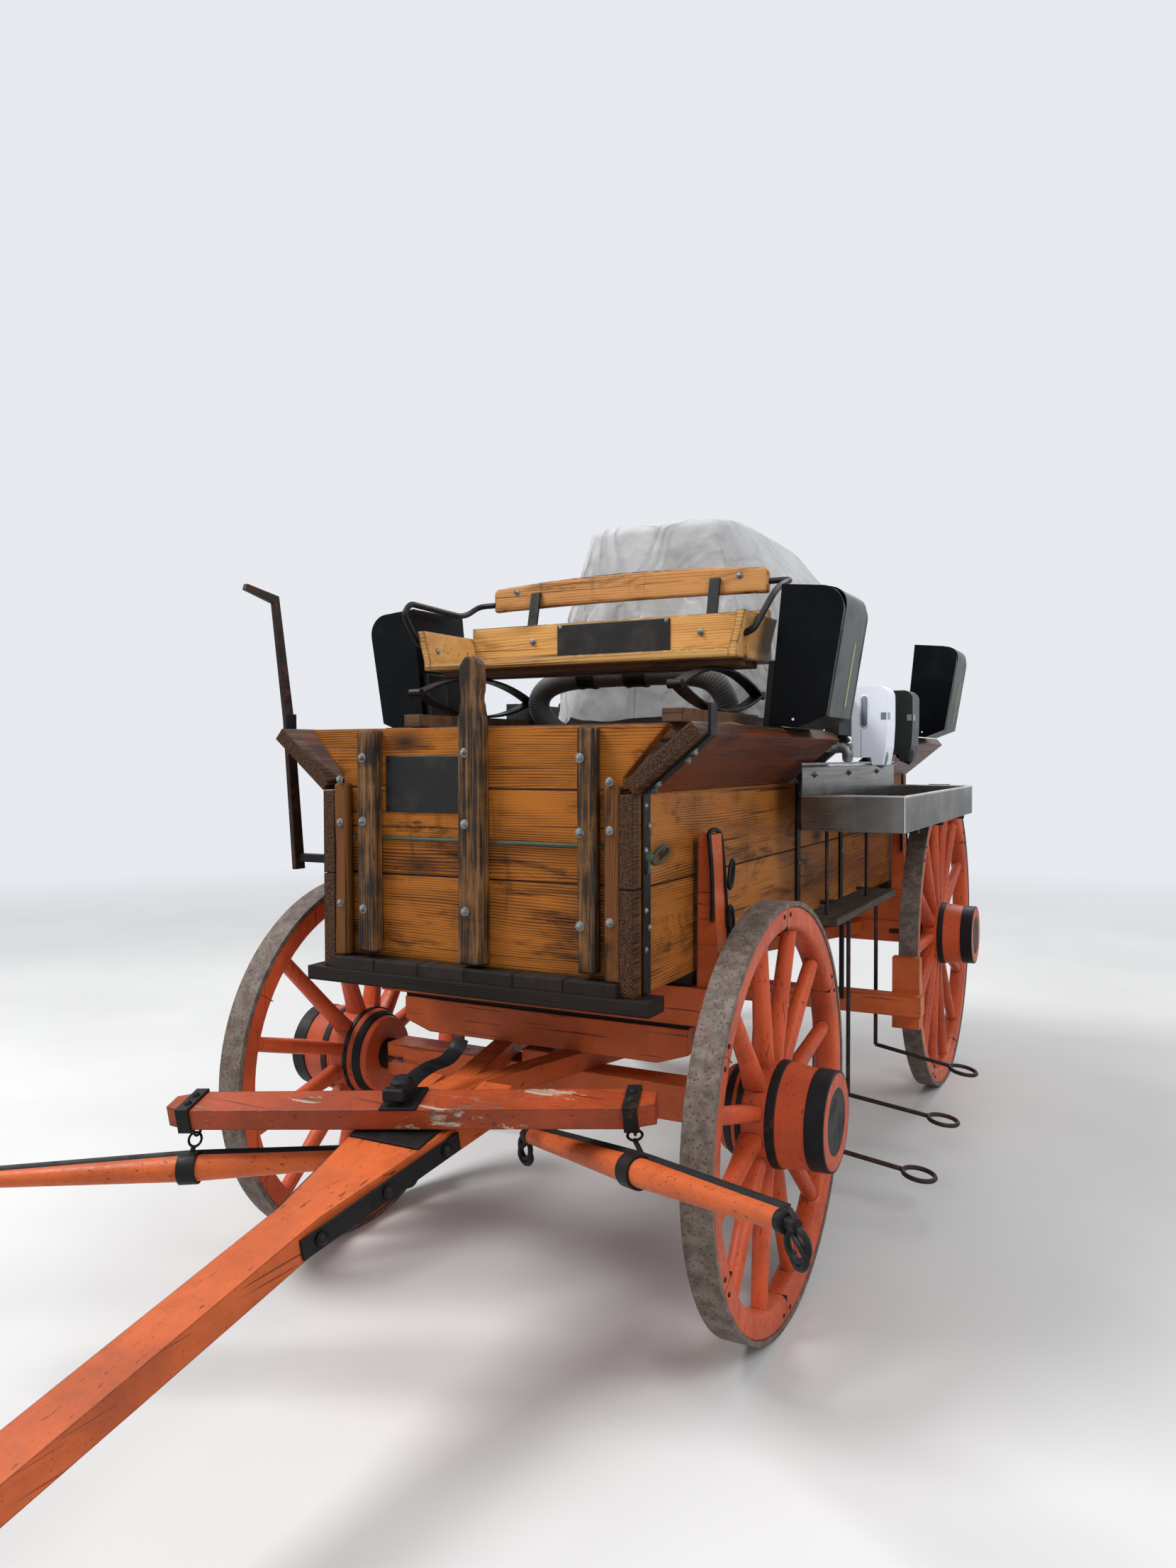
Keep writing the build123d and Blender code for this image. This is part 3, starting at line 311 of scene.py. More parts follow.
def tyre_iron():
    """Rusty grey-brown wagon tyre, pitted and worn bright in places."""
    s = Shader("tyre_iron")
    out = s.mix(s.patches(26, 6, 0.75, 0.3, 0.7), (70, 60, 54), (122, 108, 98))
    out = s.over(out, s.patches(30, 5, 0.75, 0.5, 0.64), 0.6, (92, 60, 44))
    spots = s.ramp(s.cells(85), 0.18, 0.3, 1, 0)
    out = s.over(out, spots, 0.7, (44, 32, 27))
    grit = s.noise(180, 3, 0.7)
    rim, normal = s.edges(0.004)
    out = s.over(out, rim, 0.5, (120, 74, 48))
    return s.finish(out, s.ramp(grit, 0.2, 0.8, 0.6, 0.85), s.minus(grit, spots), 0.45, 0.0015, normal)


def stainless(name, dull, bright):
    s = Shader(name)
    brush = s.noise((3, 3, 240), 3, 0.5)
    cloud = s.noise(4.5, 4, 0.6)
    out = s.mix(s.ramp(cloud, 0.35, 0.7), dull, bright)
    rough = s.plus(s.ramp(brush, 0.2, 0.8, 0.2, 0.34), s.ramp(cloud, 0.4, 0.8, 0, 0.08))
    return s.finish(out, rough, brush, 0.05, 0.0005, s.edges(0.003)[1], 1)


def galvanised():
    s = Shader("galvanised")
    flakes = s.cells(60)
    out = s.mix(s.ramp(flakes, 0.1, 0.7), (92, 94, 94), (136, 138, 138))
    out = s.over(out, s.patches(20, 4, 0.7, 0.55, 0.75), 0.5, (92, 86, 78))
    return s.finish(out, s.ramp(flakes, 0, 0.8, 0.38, 0.55), flakes, 0.1, 0.0005, None, 0.75)


def plastic(name, colour, gloss=0.3, dust=0.2, shine=0.35):
    s = Shader(name)
    haze = s.patches(9, 4, 0.65, 0.4, 0.8)
    out = s.over(colour, haze, dust, (150, 146, 138))
    rough = s.ramp(haze, 0, 1, gloss, gloss + 0.2)
    return s.finish(out, rough, s.noise(260, 2, 0.5), 0.06, 0.0004, s.edges(0.004)[1], shine=shine)


def cloth(name, light, dark):
    """Canvas: a plain weave, soft dirt, and shallow creases with painted shade in their valleys."""
    s = Shader(name)
    out = s.over(light, s.patches(3.2, 6, 0.65, 0.48, 0.78), 0.5, dark)
    out = s.over(out, s.patches(26, 4, 0.7, 0.6, 0.74), 0.3, (120, 112, 98))
    level = s.plus(s.axis_value("X"), s.axis_value("Y"))
    threads = [s.maths("SINE", s.times(v, 2600)) for v in (s.axis_value("Z"), level)]
    height = s.plus(s.times(s.times(*threads), 0.05), s.noise(13, 5, 0.6))
    # Each crease is a bump and is also darkened: painted shade in its valley.
    for scale, depth in (((3.1, 3.1, 1.3), 0.22), ((5.5, 5.5, 3.4), 0.14)):
        bend = s.maths("ABSOLUTE", s.minus(s.noise(scale, 2.5, 0.5, 0.8), 0.5))
        crease = s.ramp(bend, 0, 0.07, 1, 0)
        out = s.over(out, crease, depth, (118, 112, 103))
        height = s.minus(height, s.times(crease, 4 * depth))
    s.bsdf.inputs["Sheen Weight"].default_value = 0.25
    return s.finish(out, 0.85, height, 0.8, 0.012)


# Colours are 0 to 255, seams and old ends in metres
ORANGE = (196, 91, 43)
FLOOR_SEAMS = ("X", (-0.29, -0.15, 0, 0.15, 0.29))
# colour, gloss, dust, shine
PLASTICS = {
    "smoke": ((5, 7, 10), 0.3, 0.008, 0.1),
    "outer_cover": ((74, 79, 78), 0.42, 0.05, 0.3),
    "grey_cover": ((34, 37, 36), 0.35, 0.04, 0.3),
    "white": ((238, 242, 252), 0.35, 0.03),
    "window": ((120, 128, 138), 0.12, 0.1),
    "pale_strip": ((152, 164, 112), 0.4, 0.1),
    "hose": ((96, 98, 100), 0.45, 0.3),
    "coupling": ((20, 20, 22), 0.4, 0.1),
    "tank": ((196, 198, 194), 0.5, 0.2),
    "plate": ((17, 17, 18), 0.4, 0.05),
    "green": ((52, 66, 50), 0.65, 0.25),
    "seam": ((12, 9, 8), 0.8, 0.05),
    "seam_grey": ((120, 124, 134), 0.6, 0.05),
}
MATERIALS = {
    "paint_y": paint("orange_paint_along", ORANGE, "Y"),
    "paint_x": paint("orange_paint_across", ORANGE, "X"),
    "paint_bare": paint("orange_paint_worn_through", (160, 66, 32), "X", 0.8, 0.5, 0.8),
    "paint_wheel": paint("orange_paint_wheel", (196, 80, 42), "Z", 0.7, 0.45),
    "side": wood("varnished_side_boards", "Y", (158, 96, 36), (62, 32, 11), 0.75,
                 seams=("Z", (1.1805,)), old_ends=(("Y", -0.185, -0.215),)),
    "gate": wood("varnished_gate_boards", "X", (164, 98, 32), (60, 30, 9), 0.95,
                 seams=("Z", (1.183, 1.419))),
    "flare": wood("red_brown_flares", "Y", (104, 46, 13), (54, 23, 7), 0.6, 0.9, 0.35,
                  old_ends=(("Z", 1.56, 1.575), ("Y", -0.19, -0.21))),
    "seat": wood("golden_seat_boards", "X", (208, 162, 98), (162, 110, 54), 0.5, 1, 0.35, 0.1,
                 rings=700, rim_width=0.013),
    "backrest": wood("golden_backrest", "X", (196, 142, 86), (146, 88, 42), 0.7, 1, 0.4, 0.1,
                     rings=700, rim_width=0.016),
    "batten": weathered("weathered_battens", "Z", (128, 88, 46), (50, 33, 18)),
    "cleat": wood("brown_cleats", "Z", (112, 70, 34), (60, 34, 16), 0.9, 0.9, 0.5),
    "shelf": wood("grey_boards", "Y", (72, 60, 50), (36, 29, 25), 0.5, 0.9, 0.7, 0.1, 0.2),
    "riser": wood("brown_boards", "X", (122, 80, 48), (66, 40, 24), 0.7, 0.9, 0.6, 0.1, 0.4),
    "sill": wood("dark_sill", "X", (32, 26, 22), (11, 9, 8), 0.7, 0.9, 0.65, 0.1, 0.05),
    "floor": wood("dark_floor_ends", "Y", (34, 28, 25), (14, 12, 11), 0.5, 0.9, 0.6, 0.25, 0.05,
                  seams=FLOOR_SEAMS),
    "iron": iron("black_iron", (13, 13, 14)),
    "iron_worn": iron("worn_iron", (27, 25, 24), 0.75, 0.5),
    "tyre": tyre_iron(),
    "stainless": stainless("stainless", (108, 106, 102), (142, 141, 138)),
    "galvanised": galvanised(),
    "canvas": cloth("canvas", (203, 204, 206), (152, 147, 138)),
    # a lighter copy of the stainless: painted highlight on the troughs' rims and folds
    "stainless_highlight": stainless("painted_highlight_stainless", (196, 196, 194), (224, 224, 222)),
}
MATERIALS.update({name: plastic(name, *values) for name, values in PLASTICS.items()})

# The frame's nodes of each finish
FINISH_NODES = {
    "gate": "front_gate_planks rear_gate", "batten": "front_gate_battens", "cleat": "gate_cleats",
    "side": "side_planks", "flare": "flare_boards", "floor": "floor_planks", "sill": "cross_sills",
    "seat": "seat_board seat_panels", "backrest": "seat_backrest", "riser": "seat_risers",
    "plate": "gate_sign seat_plaque dispenser_rails", "shelf": "shelf_boards", "tank": "water_tank",
    "stainless": "sink_left sink_right", "galvanised": "faucet_pipes", "white": "soap_dispensers_white",
    "grey_cover": "soap_dispensers_dark", "smoke": "towel_dispensers", "hose": "suction_hose",
    "canvas": "canvas_cover", "iron_worn": "trough_irons brake_lever", "paint_bare": "doubletree_bar",
    "paint_x": "front_axle rear_axle sand_board front_bolster rear_bolster brake_beam singletree_left "
               "singletree_right",
    "paint_y": "tongue_pole front_hounds rear_hounds reach",
}
finishes = {name: finish for finish, names in FINISH_NODES.items() for name in names.split()}
for name, node in nodes.items():
    other = {"tyre": "tyre", "wheel": "paint_wheel"}.get(name.split("_")[0], "iron")
    node.data.materials.clear()
    node.data.materials.append(MATERIALS[finishes.get(name, other)])


# Mesh helpers
def add(name, data):
    """A new object in the scene."""
    obj = bpy.data.objects.new(name, data)
    scene.collection.objects.link(obj)
    return obj


def baked(obj):
    """The mesh that an object's curve or modifiers make. The object goes."""
    mesh = bpy.data.meshes.new_from_object(obj.evaluated_get(bpy.context.evaluated_depsgraph_get()))
    bpy.data.objects.remove(obj)
    return mesh


def piece(name, parts, finish, body="wagon_body", smooth=True):
    """A new object from (vertices, faces), or from a list of them, that rides on a body."""
    verts, faces = join(*parts) if isinstance(parts, list) else parts
    mesh = bpy.data.meshes.new(name)
    mesh.from_pydata([tuple(v) for v in verts], [], faces)
    mesh.validate()
    tidy = bmesh.new()
    tidy.from_mesh(mesh)
    bmesh.ops.recalc_face_normals(tidy, faces=tidy.faces)
    tidy.to_mesh(mesh)
    tidy.free()
    mesh.materials.append(MATERIALS[finish])
    if smooth:
        shade(mesh)
    obj = add(name, mesh)
    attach(obj, body)
    return obj


def shade(mesh, angle=35):
    """Smooth shading with edges kept sharp where faces meet at more than an angle."""
    mesh.shade_smooth()
    mesh.set_sharp_from_angle(angle=radians(angle))


def turns(count, shift=0):
    """Angles around a whole turn."""
    return [2 * pi * (k + shift) / count for k in range(count)]


def drift(x, y, z):
    """Smooth noise at a place."""
    return noise.noise(Vector((x, y, z)))


def squared(value, power):
    """A sine or cosine changed for a rounder or squarer outline."""
    return copysign(abs(value) ** power, value)


def rounded(start, corner, end, steps):
    """Points on a curve from start to end that bends at a corner."""
    out = []
    for k in range(steps + 1):
        t = k / steps
        out.append(start * (1 - t) ** 2 + corner * 2 * t * (1 - t) + end * t * t)
    return out


def quads(rows, columns, around=True, closed=False):
    """Faces between rows of points. Each row goes around, and the last row may meet the first."""
    faces = []
    for i in range(rows if closed else rows - 1):
        j = (i + 1) % rows
        for k in range(columns if around else columns - 1):
            n = (k + 1) % columns
            faces.append([i * columns + k, i * columns + n, j * columns + n, j * columns + k])
    return faces


def caps(rows, columns):
    """The faces that close the first and the last row."""
    return [list(range(columns))[::-1], [(rows - 1) * columns + k for k in range(columns)]]


def join(*parts):
    """Several (vertices, faces) as one."""
    verts, faces = [], []
    for v, f in parts:
        base = len(verts)
        verts += list(v)
        faces += [[i + base for i in face] for face in f]
    return verts, faces


def frame_from(direction, side=None):
    """Two vectors square to a direction."""
    d = Vector(direction).normalized()
    helper = Vector(side) if side else (Vector((0, 0, 1)) if abs(d.z) < 0.9 else Vector((1, 0, 0)))
    u = d.cross(helper).normalized()
    return d, u, d.cross(u).normalized()


def lathe(place, axis, profile, segments=14):
    """A profile of (along, radius) points turned about an axis."""
    d, u, v = frame_from(axis)
    verts = []
    for a, r in profile:
        for t in turns(segments):
            verts.append(Vector(place) + d * a + (u * cos(t) + v * sin(t)) * max(r, 1e-5))
    rows = len(profile)
    return verts, quads(rows, segments) + caps(rows, segments)


def tube(points, radius, segments=10, closed=False, flat=1, side=None):
    """A round or flattened bar through a list of points."""
    pts = [Vector(p) for p in points]
    n = len(pts)
    verts = []
    up = None
    for i, p in enumerate(pts):
        before = pts[i - 1] if (i > 0 or closed) else p
        after = pts[(i + 1) % n] if (i < n - 1 or closed) else p
        d = (after - before).normalized()
        if up is None:
            up = frame_from(d, side)[1]
        up = (up - d * up.dot(d)).normalized()
        w = d.cross(up)
        r = radius[i] if isinstance(radius, (list, tuple)) else radius
        for t in turns(segments, 0.5):
            verts.append(p + up * (cos(t) * r) + w * (sin(t) * r * flat))
    ends = [] if closed else caps(n, segments)
    return verts, quads(n, segments, closed=closed) + ends


def curve_through(points, steps=6, closed=False):
    """A smooth line through points."""
    pts = [Vector(p) for p in points]
    n = len(pts)
    out = []
    for i in range(n if closed else n - 1):
        p0 = pts[(i - 1) % n] if (closed or i > 0) else pts[0]
        p1, p2 = pts[i], pts[(i + 1) % n]
        p3 = pts[(i + 2) % n] if (closed or i + 2 < n) else pts[-1]
        for s in range(steps):
            t = s / steps
            out.append(0.5 * ((2 * p1) + (p2 - p0) * t + (2 * p0 - 5 * p1 + 4 * p2 - p3) * t * t
                              + (3 * p1 - p0 - 3 * p2 + p3) * t ** 3))
    if not closed:
        out.append(pts[-1])
    return out


def plate(centre, size, turn=None, bevel=0.0015):
    """A box with bevelled edges."""
    hx, hy, hz = (s / 2 for s in size)
    b = min(bevel, hx * 0.45, hy * 0.45, hz * 0.45)
    tidy = bmesh.new()
    bmesh.ops.create_cube(tidy, size=1)
    for v in tidy.verts:
        v.co = Vector((v.co.x * 2 * hx, v.co.y * 2 * hy, v.co.z * 2 * hz))
    bmesh.ops.bevel(tidy, geom=list(tidy.edges), offset=b, segments=1, affect="EDGES")
    tidy.verts.ensure_lookup_table()
    m = (turn or Matrix.Identity(3)).to_4x4()
    verts = [Vector(centre) + (m @ v.co) for v in tidy.verts]
    faces = [[v.index for v in f.verts] for f in tidy.faces]
    tidy.free()
    return verts, faces


def dome_bolt(place, axis, radius=0.01, height=0.006):
    """A carriage bolt's round head on a thin washer."""
    steps = [(0, radius * 1.35), (0.0015, radius * 1.35), (0.0015, radius)]
    for k in range(1, 5):
        t = pi / 2 * k / 4
        steps.append((0.0015 + height * sin(t), radius * cos(t)))
    return lathe(place, axis, steps, 12)


def bolted(place, axis, size=0.019):
    """A washer, a hexagon nut and the rounded end of its bolt."""
    d = Vector(axis).normalized()
    p = Vector(place)
    washer = lathe(p, d, [(0, size * 0.86), (0.0018, size * 0.86), (0.0022, size * 0.8)], 16)
    seat = p + d * 0.002
    nut = lathe(seat, d, [(0, size * 0.56), (size * 0.42, size * 0.56), (size * 0.48, size * 0.5)], 6)
    end = lathe(seat, d, [(0, size * 0.3), (size * 0.66, size * 0.3), (size * 0.74, size * 0.2)], 12)
    return join(washer, nut, end)


# Timbers with rounded, chipped edges
def worn(node_name, finish, voxel, chip, grain, seed, body="wagon_body"):
    """A weathered copy of a timber node, shown in its place."""
    rough_cut = add("cut_" + node_name, nodes[node_name].data.copy())
    remesh = rough_cut.modifiers.new("remesh", "REMESH")
    remesh.mode = "VOXEL"
    remesh.voxel_size = voxel
    soften = rough_cut.modifiers.new("soften", "SMOOTH")
    soften.factor = 0.5
    soften.iterations = 1
    mesh = baked(rough_cut)
    stretch = Vector([7 if axis == grain else 45 for axis in "XYZ"])
    normals = [v.normal.copy() for v in mesh.vertices]
    for v, n in zip(mesh.vertices, normals):
        square = 1 - max(abs(n.x), abs(n.y), abs(n.z))
        p = Vector((v.co.x * stretch.x, v.co.y * stretch.y, v.co.z * stretch.z)) + Vector((seed, seed, 0))
        gouge = max(0, noise.noise(p * 0.6) + 0.12) + 0.5 * max(0, noise.noise(p * 1.7))
        ripple = 0.0006 * noise.noise(p * 2.2)
        v.co -= n * (chip * square * gouge * 2.2 + ripple)
    mesh.materials.clear()
    mesh.materials.append(MATERIALS[finish])
    mesh.shade_smooth()
    obj = add("worn_" + node_name, mesh)
    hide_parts(node_name)
    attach(obj, body)


worn("front_gate_battens", "batten", 0.0038, 0.014, "Z", 1, "front_gate")
worn("gate_cleats", "cleat", 0.0045, 0.009, "Z", 5)
worn("seat_backrest", "backrest", 0.0038, 0.014, "X", 9)

# Bolts of the front gate: x, heights
GATE_BOLTS = ((-339, (1086, 1326, 1500)), (-5, (1100, 1327, 1512)), (333, (1085, 1314, 1498)))
heads = [bolted(at(x, -410.2, z), FORE, 0.0145) for x, rows in GATE_BOLTS for z in rows]
piece("gate_bolts", heads, "galvanised", "front_gate")
CLEAT_BOLTS = [(side * 416 - 2, z) for side in (-1, 1) for z in (1099, 1322, 1440)]
heads = [bolted(at(x, -409.2, z), FORE, 0.013) for x, z in CLEAT_BOLTS]
piece("cleat_bolts", heads, "galvanised")
gate_rod = tube([at(-428, -376.5, 1281), at(428, -376.5, 1279)], 0.0052)
piece("gate_rod", gate_rod, "green", "front_gate")

# Straps at the corners and along the sides: place along, heights of their bolts
STRAP_BOLTS = ((-345, (1030, 1082, 1126, 1229, 1273, 1331, 1382)), (928.6, (1130, 1370)),
               (1511, (1130, 1370)), (2700, (1130, 1370)))
heads = []
for side in (1, -1):
    for i, (y, rows) in enumerate(STRAP_BOLTS):
        for j, z in enumerate(rows):
            off = (12 if j % 2 else -9) if i == 0 else 0
            heads.append(dome_bolt(at(side * 485, y + off, z), (side, 0, 0), 0.0062, 0.005))
    low, high = Vector((482, -352, 1404)), Vector((655, -352, 1548))
    for t, off in ((0.12, 9), (0.22, -8), (0.62, 10), (0.76, -6)):
        p = low.lerp(high, t)
        heads.append(bolted(at(side * p.x, p.y + off, p.z), (side * 0.64, 0, -0.77), 0.0115))
piece("strap_bolts", heads, "galvanised")

# The green ring on each side, on its short arm
for tag, side in SIDES:
    ring = [at(side * (489 + 12 * sin(t)), -275 + 40 * cos(t), 1256 + 22 * sin(t)) for t in turns(28)]
    eye = tube(ring, 0.0048, 8, True)
    boss = lathe(at(side * 485, -345, 1256), (side, 0, 0), [(0, 0.015), (0.008, 0.013), (0.014, 0.008)])
    shank = tube([at(side * 491, -345, 1256), at(side * 491, -314, 1256)], 0.006, 8)
    drop = [at(side * x, y, z) for x, y, z in ((489, -345, 1256), (492, -352, 1236), (489, -349, 1214))]
    tail = tube(curve_through(drop, 4), 0.0042, 8)
    piece("green_ring_" + tag, [eye, boss, shank, tail], "green")

# Irons on the stakes of both bolsters
for tag, side in SIDES:
    for where, y0 in (("front", 0), ("rear", 2435)):
        loop = [(538, -45, 1060), (538, -45, 1180), (531, -45, 1270), (526, -34, 1296), (525, 0, 1303),
                (526, 34, 1296), (531, 45, 1270), (540, 45, 1160), (549, 45, 1010), (553, 45, 900)]
        bar = tube(curve_through([at(side * x, y0 + y, z) for x, y, z in loop], 5), 0.0062, 10)
        links = []
        for z, tilt in ((1180, 0.28), (1056, -0.2)):
            oval = []
            for t in turns(24):
                dy, dz = 16 * cos(t), 38 * sin(t)
                oval.append(at(side * 559, y0 + 45 + dy + dz * tilt, z + dz))
            links.append(tube(oval, 0.0052, 8, True))
        foot = plate(at(side * 559, y0, 925), (0.006, 0.07, 0.09))
        piece("stake_irons_%s_%s" % (where, tag), [bar, foot, *links], "iron")

# Screws of the seat and of the plate on the front gate
screws = [dome_bolt(at(x, 526.6, z), FORE, 0.0085, 0.004) for x, z in ((-411, 2079), (410, 2073))]
screws += [bolted(at(x, 436.8, 1890), FORE, 0.014) for x in (-294, 315)]
corners = ((199, 1935), (-186, 1935), (-186, 1829), (199, 1829))
screws += [dome_bolt(at(x, 433.8, z), FORE, 0.0055, 0.003) for x, z in corners]
screws += [dome_bolt(at(x, 205, 1850), (-copysign(0.97, x), 0, 0.24), 0.008, 0.004) for x in (-521, 521)]
piece("seat_screws", screws, "galvanised")
corners = [at(x, -375.3, z) for x in (-277, -43) for z in (1362, 1495)]
screws = [dome_bolt(p, FORE, 0.0045, 0.002) for p in corners]
piece("sign_screws", screws, "iron", "front_gate")

# Round arm rails over the seat's ends: side, then along and height of their bends
ARM_RAILS = (
    ("left", -1, ((170, 1862), (92, 1962), (126, 2001), (439, 1991), (539, 2040))),
    ("right", 1, ((188, 1850), (396, 2007), (539, 2050))),
)
for tag, side, points in ARM_RAILS:
    (y, z), (last_y, last_z) = points[0], points[-1]
    route = [(side * 545, y, z), (side * 575, y - 2, z + 12)]
    route += [(side * 575, y, z) for y, z in points[1:]]
    route.append((side * 506, last_y, last_z))
    pts = [at(*p) for p in route]
    smooth = [pts[0]]
    for i in range(1, len(pts) - 1):
        a, p, b = pts[i - 1], pts[i], pts[i + 1]
        reach = 0.45 * min((p - a).length, (b - p).length)
        smooth += rounded(p + (a - p).normalized() * reach, p, p + (b - p).normalized() * reach, 8)
    smooth.append(pts[-1])
    piece("arm_rail_" + tag, tube(smooth, 0.0098, 12), "iron")

# Iron bands on the wheels' hubs: along from, along to, radius at both ends
HUB_BANDS = ((-0.1, -0.076, 0.1215, 0.1305), (-0.062, -0.046, 0.1405, 0.1405),
             (0.017, 0.042, 0.1405, 0.1385), (0.116, 0.1655, 0.1305, 0.1295))


def wheel_mesh(radius, spokes):
    """Felloes, barrel hub and turned spokes about X, nose to +X, with rounded edges."""
    outer = radius - TYRE_THICKNESS
    inner = outer - 0.062
    # half the felloes' width
    w = 0.035
    rim = ring_profile([(-w, outer - 0.002), (-w + 0.002, outer), (w - 0.002, outer), (w, outer - 0.002),
                        (w, inner + 0.016), (w - 0.004, inner + 0.007), (w - 0.013, inner + 0.001),
                        (0, inner), (0.013 - w, inner + 0.001), (0.004 - w, inner + 0.007),
                        (-w, inner + 0.016)], 96)
    hub = ring_profile([(-0.118, 0.046), (-0.118, 0.11), (-0.115, 0.112), (-0.09, 0.1215), (-0.064, 0.136),
                        (-0.055, 0.1378), (0.012, 0.1378), (0.03, 0.1372), (0.07, 0.1335), (0.11, 0.1275),
                        (0.1645, 0.1242), (0.166, 0.1225), (0.166, 0.086), (0.164, 0.0845), (0.104, 0.0845),
                        (0.104, 0.046)], 64)
    parts = [rim, hub]
    # the spokes' feet, inside the hub
    foot = 0.128
    reach = inner + 0.012 - foot
    # share of the way out, offset along the axis, half width along it, half thickness, squareness
    stations = ((0, -0.022, 0.031, 0.019, 5), (0.05, -0.02, 0.031, 0.0185, 4.5),
                (0.14, -0.018, 0.029, 0.02, 3), (0.32, -0.012, 0.0255, 0.0225, 2.2),
                (0.6, -0.007, 0.023, 0.0225, 2), (0.93, -0.001, 0.0215, 0.0215, 2),
                (1, 0, 0.0195, 0.0195, 2))
    sides = 14
    for turn in turns(spokes, 0.5):
        c, sn = cos(turn), sin(turn)
        verts = []
        for t, off, wide, thick, power in stations:
            r = foot + t * reach
            for q in turns(sides, 0.5):
                x = off + wide * squared(cos(q), 2 / power)
                y = thick * squared(sin(q), 2 / power)
                verts.append(Vector((x, y * c - r * sn, y * sn + r * c)))
        parts.append((verts, quads(len(stations), sides)))
    return join(*parts)


def ring_profile(profile, segments):
    """A closed profile of (along, radius) points turned about X."""
    verts = [Vector((a, -sin(t) * r, cos(t) * r)) for t in turns(segments) for a, r in profile]
    return verts, quads(segments, len(profile), closed=True)


for name, side, y, radius, spokes in WHEELS:
    centre = Vector((side * HALF_TRACK, y + FRONT_AXLE_Y, radius))
    axis = Vector((side, 0, 0))
    verts, faces = wheel_mesh(radius, spokes)
    verts = [centre + Vector((side * v.x, v.y, v.z)) for v in verts]
    body = "wheel_" + name
    wood_part = piece("wheel_wood_" + name, (verts, faces), "paint_wheel", body)
    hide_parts("wheel_" + name)
    bands = []
    for low, high, r0, r1 in HUB_BANDS:
        inner = min(r0, r1) - 0.012
        wide = high - low
        band = [(0, inner), (0, r0 - 0.0015), (0.0015, r0), (wide - 0.0015, r1), (wide, r1 - 0.0015),
                (wide, inner)]
        bands.append(lathe(centre + axis * low, axis, band, 56))
    piece("hub_bands_" + name, bands, "iron", body)
    marks, seams = [], []
    outer = radius - TYRE_THICKNESS
    nails = outer - 0.02
    for t in turns(spokes // 2):
        for q in (t - 0.05, t + 0.05):
            p = centre + Vector((side * 0.035, -sin(q) * nails, cos(q) * nails))
            marks.append(lathe(p, axis, [(0, 0.0062), (0.0025, 0.0058), (0.003, 0.003)], 8))
        d = Vector((0, -sin(t), cos(t)))
        turn = Matrix((Vector((1, 0, 0)), d.cross(Vector((1, 0, 0))), d)).transposed()
        seams.append(plate(centre + d * (outer - 0.0312), (0.0708, 0.0016, 0.0615), turn, 0.0002))
    piece("felloe_nails_" + name, marks, "iron_worn", body)
    piece("felloe_joints_" + name, seams, "seam", body, smooth=False)


# Canvas: place along, half widths of hem, shoulder and ridge, heights of shoulder and ridge
CANVAS_STATIONS = (
    (740, 420, 388, 262, 2000, 2322), (1000, 540, 424, 276, 2120, 2336), (1250, 575, 432, 278, 2150, 2341),
    (1640, 580, 432, 262, 2150, 2345), (1900, 536, 400, 204, 2050, 2242),
)
# The heights of the hem and of the highest cloth, and the place along where the ridge begins to fall
CANVAS_HEM, CANVAS_TOP, CANVAS_FALL = 1640, 2350, 1640
# Places along of the front and the rear edge, at the hem and at the ridge
CANVAS_FRONT, CANVAS_REAR = (741, 752), (1898, 1880)


def canvas_station(y):
    """The widths and heights of the cover at one place along the wagon."""
    y = min(max(y, CANVAS_STATIONS[0][0]), CANVAS_STATIONS[-1][0])
    for low, high in zip(CANVAS_STATIONS, CANVAS_STATIONS[1:]):
        if y <= high[0]:
            t = (y - low[0]) / (high[0] - low[0])
            t = t * t * (3 - 2 * t) if high[0] < CANVAS_FALL else t
            return [a + (b - a) * t for a, b in zip(low, high)][1:]
    return list(CANVAS_STATIONS[-1][1:])


def canvas_point(turn, rise, inward):
    """A place on the smooth cover: turn about it, rise from the hem, and how far in over the top."""
    c, sn = cos(turn), sin(turn)
    power = 4.5 + 7 * rise
    front = CANVAS_FRONT[0] + (CANVAS_FRONT[1] - CANVAS_FRONT[0]) * rise
    rear = CANVAS_REAR[0] + (CANVAS_REAR[1] - CANVAS_REAR[0]) * rise
    y = (front + rear) / 2 + (rear - front) / 2 * squared(sn, 2 / power) * (1 - inward)
    hem, shoulder, ridge, z_shoulder, z_ridge = canvas_station(y)
    z = CANVAS_HEM + (z_ridge - CANVAS_HEM) * rise
    if z < z_shoulder:
        half = hem + (shoulder - hem) * ((z - CANVAS_HEM) / (z_shoulder - CANVAS_HEM)) ** 0.75
    else:
        half = shoulder + (ridge - shoulder) * (z - z_shoulder) / (z_ridge - z_shoulder)
    x = half * squared(c, 2 / power) * (1 - inward)
    return x, y, z


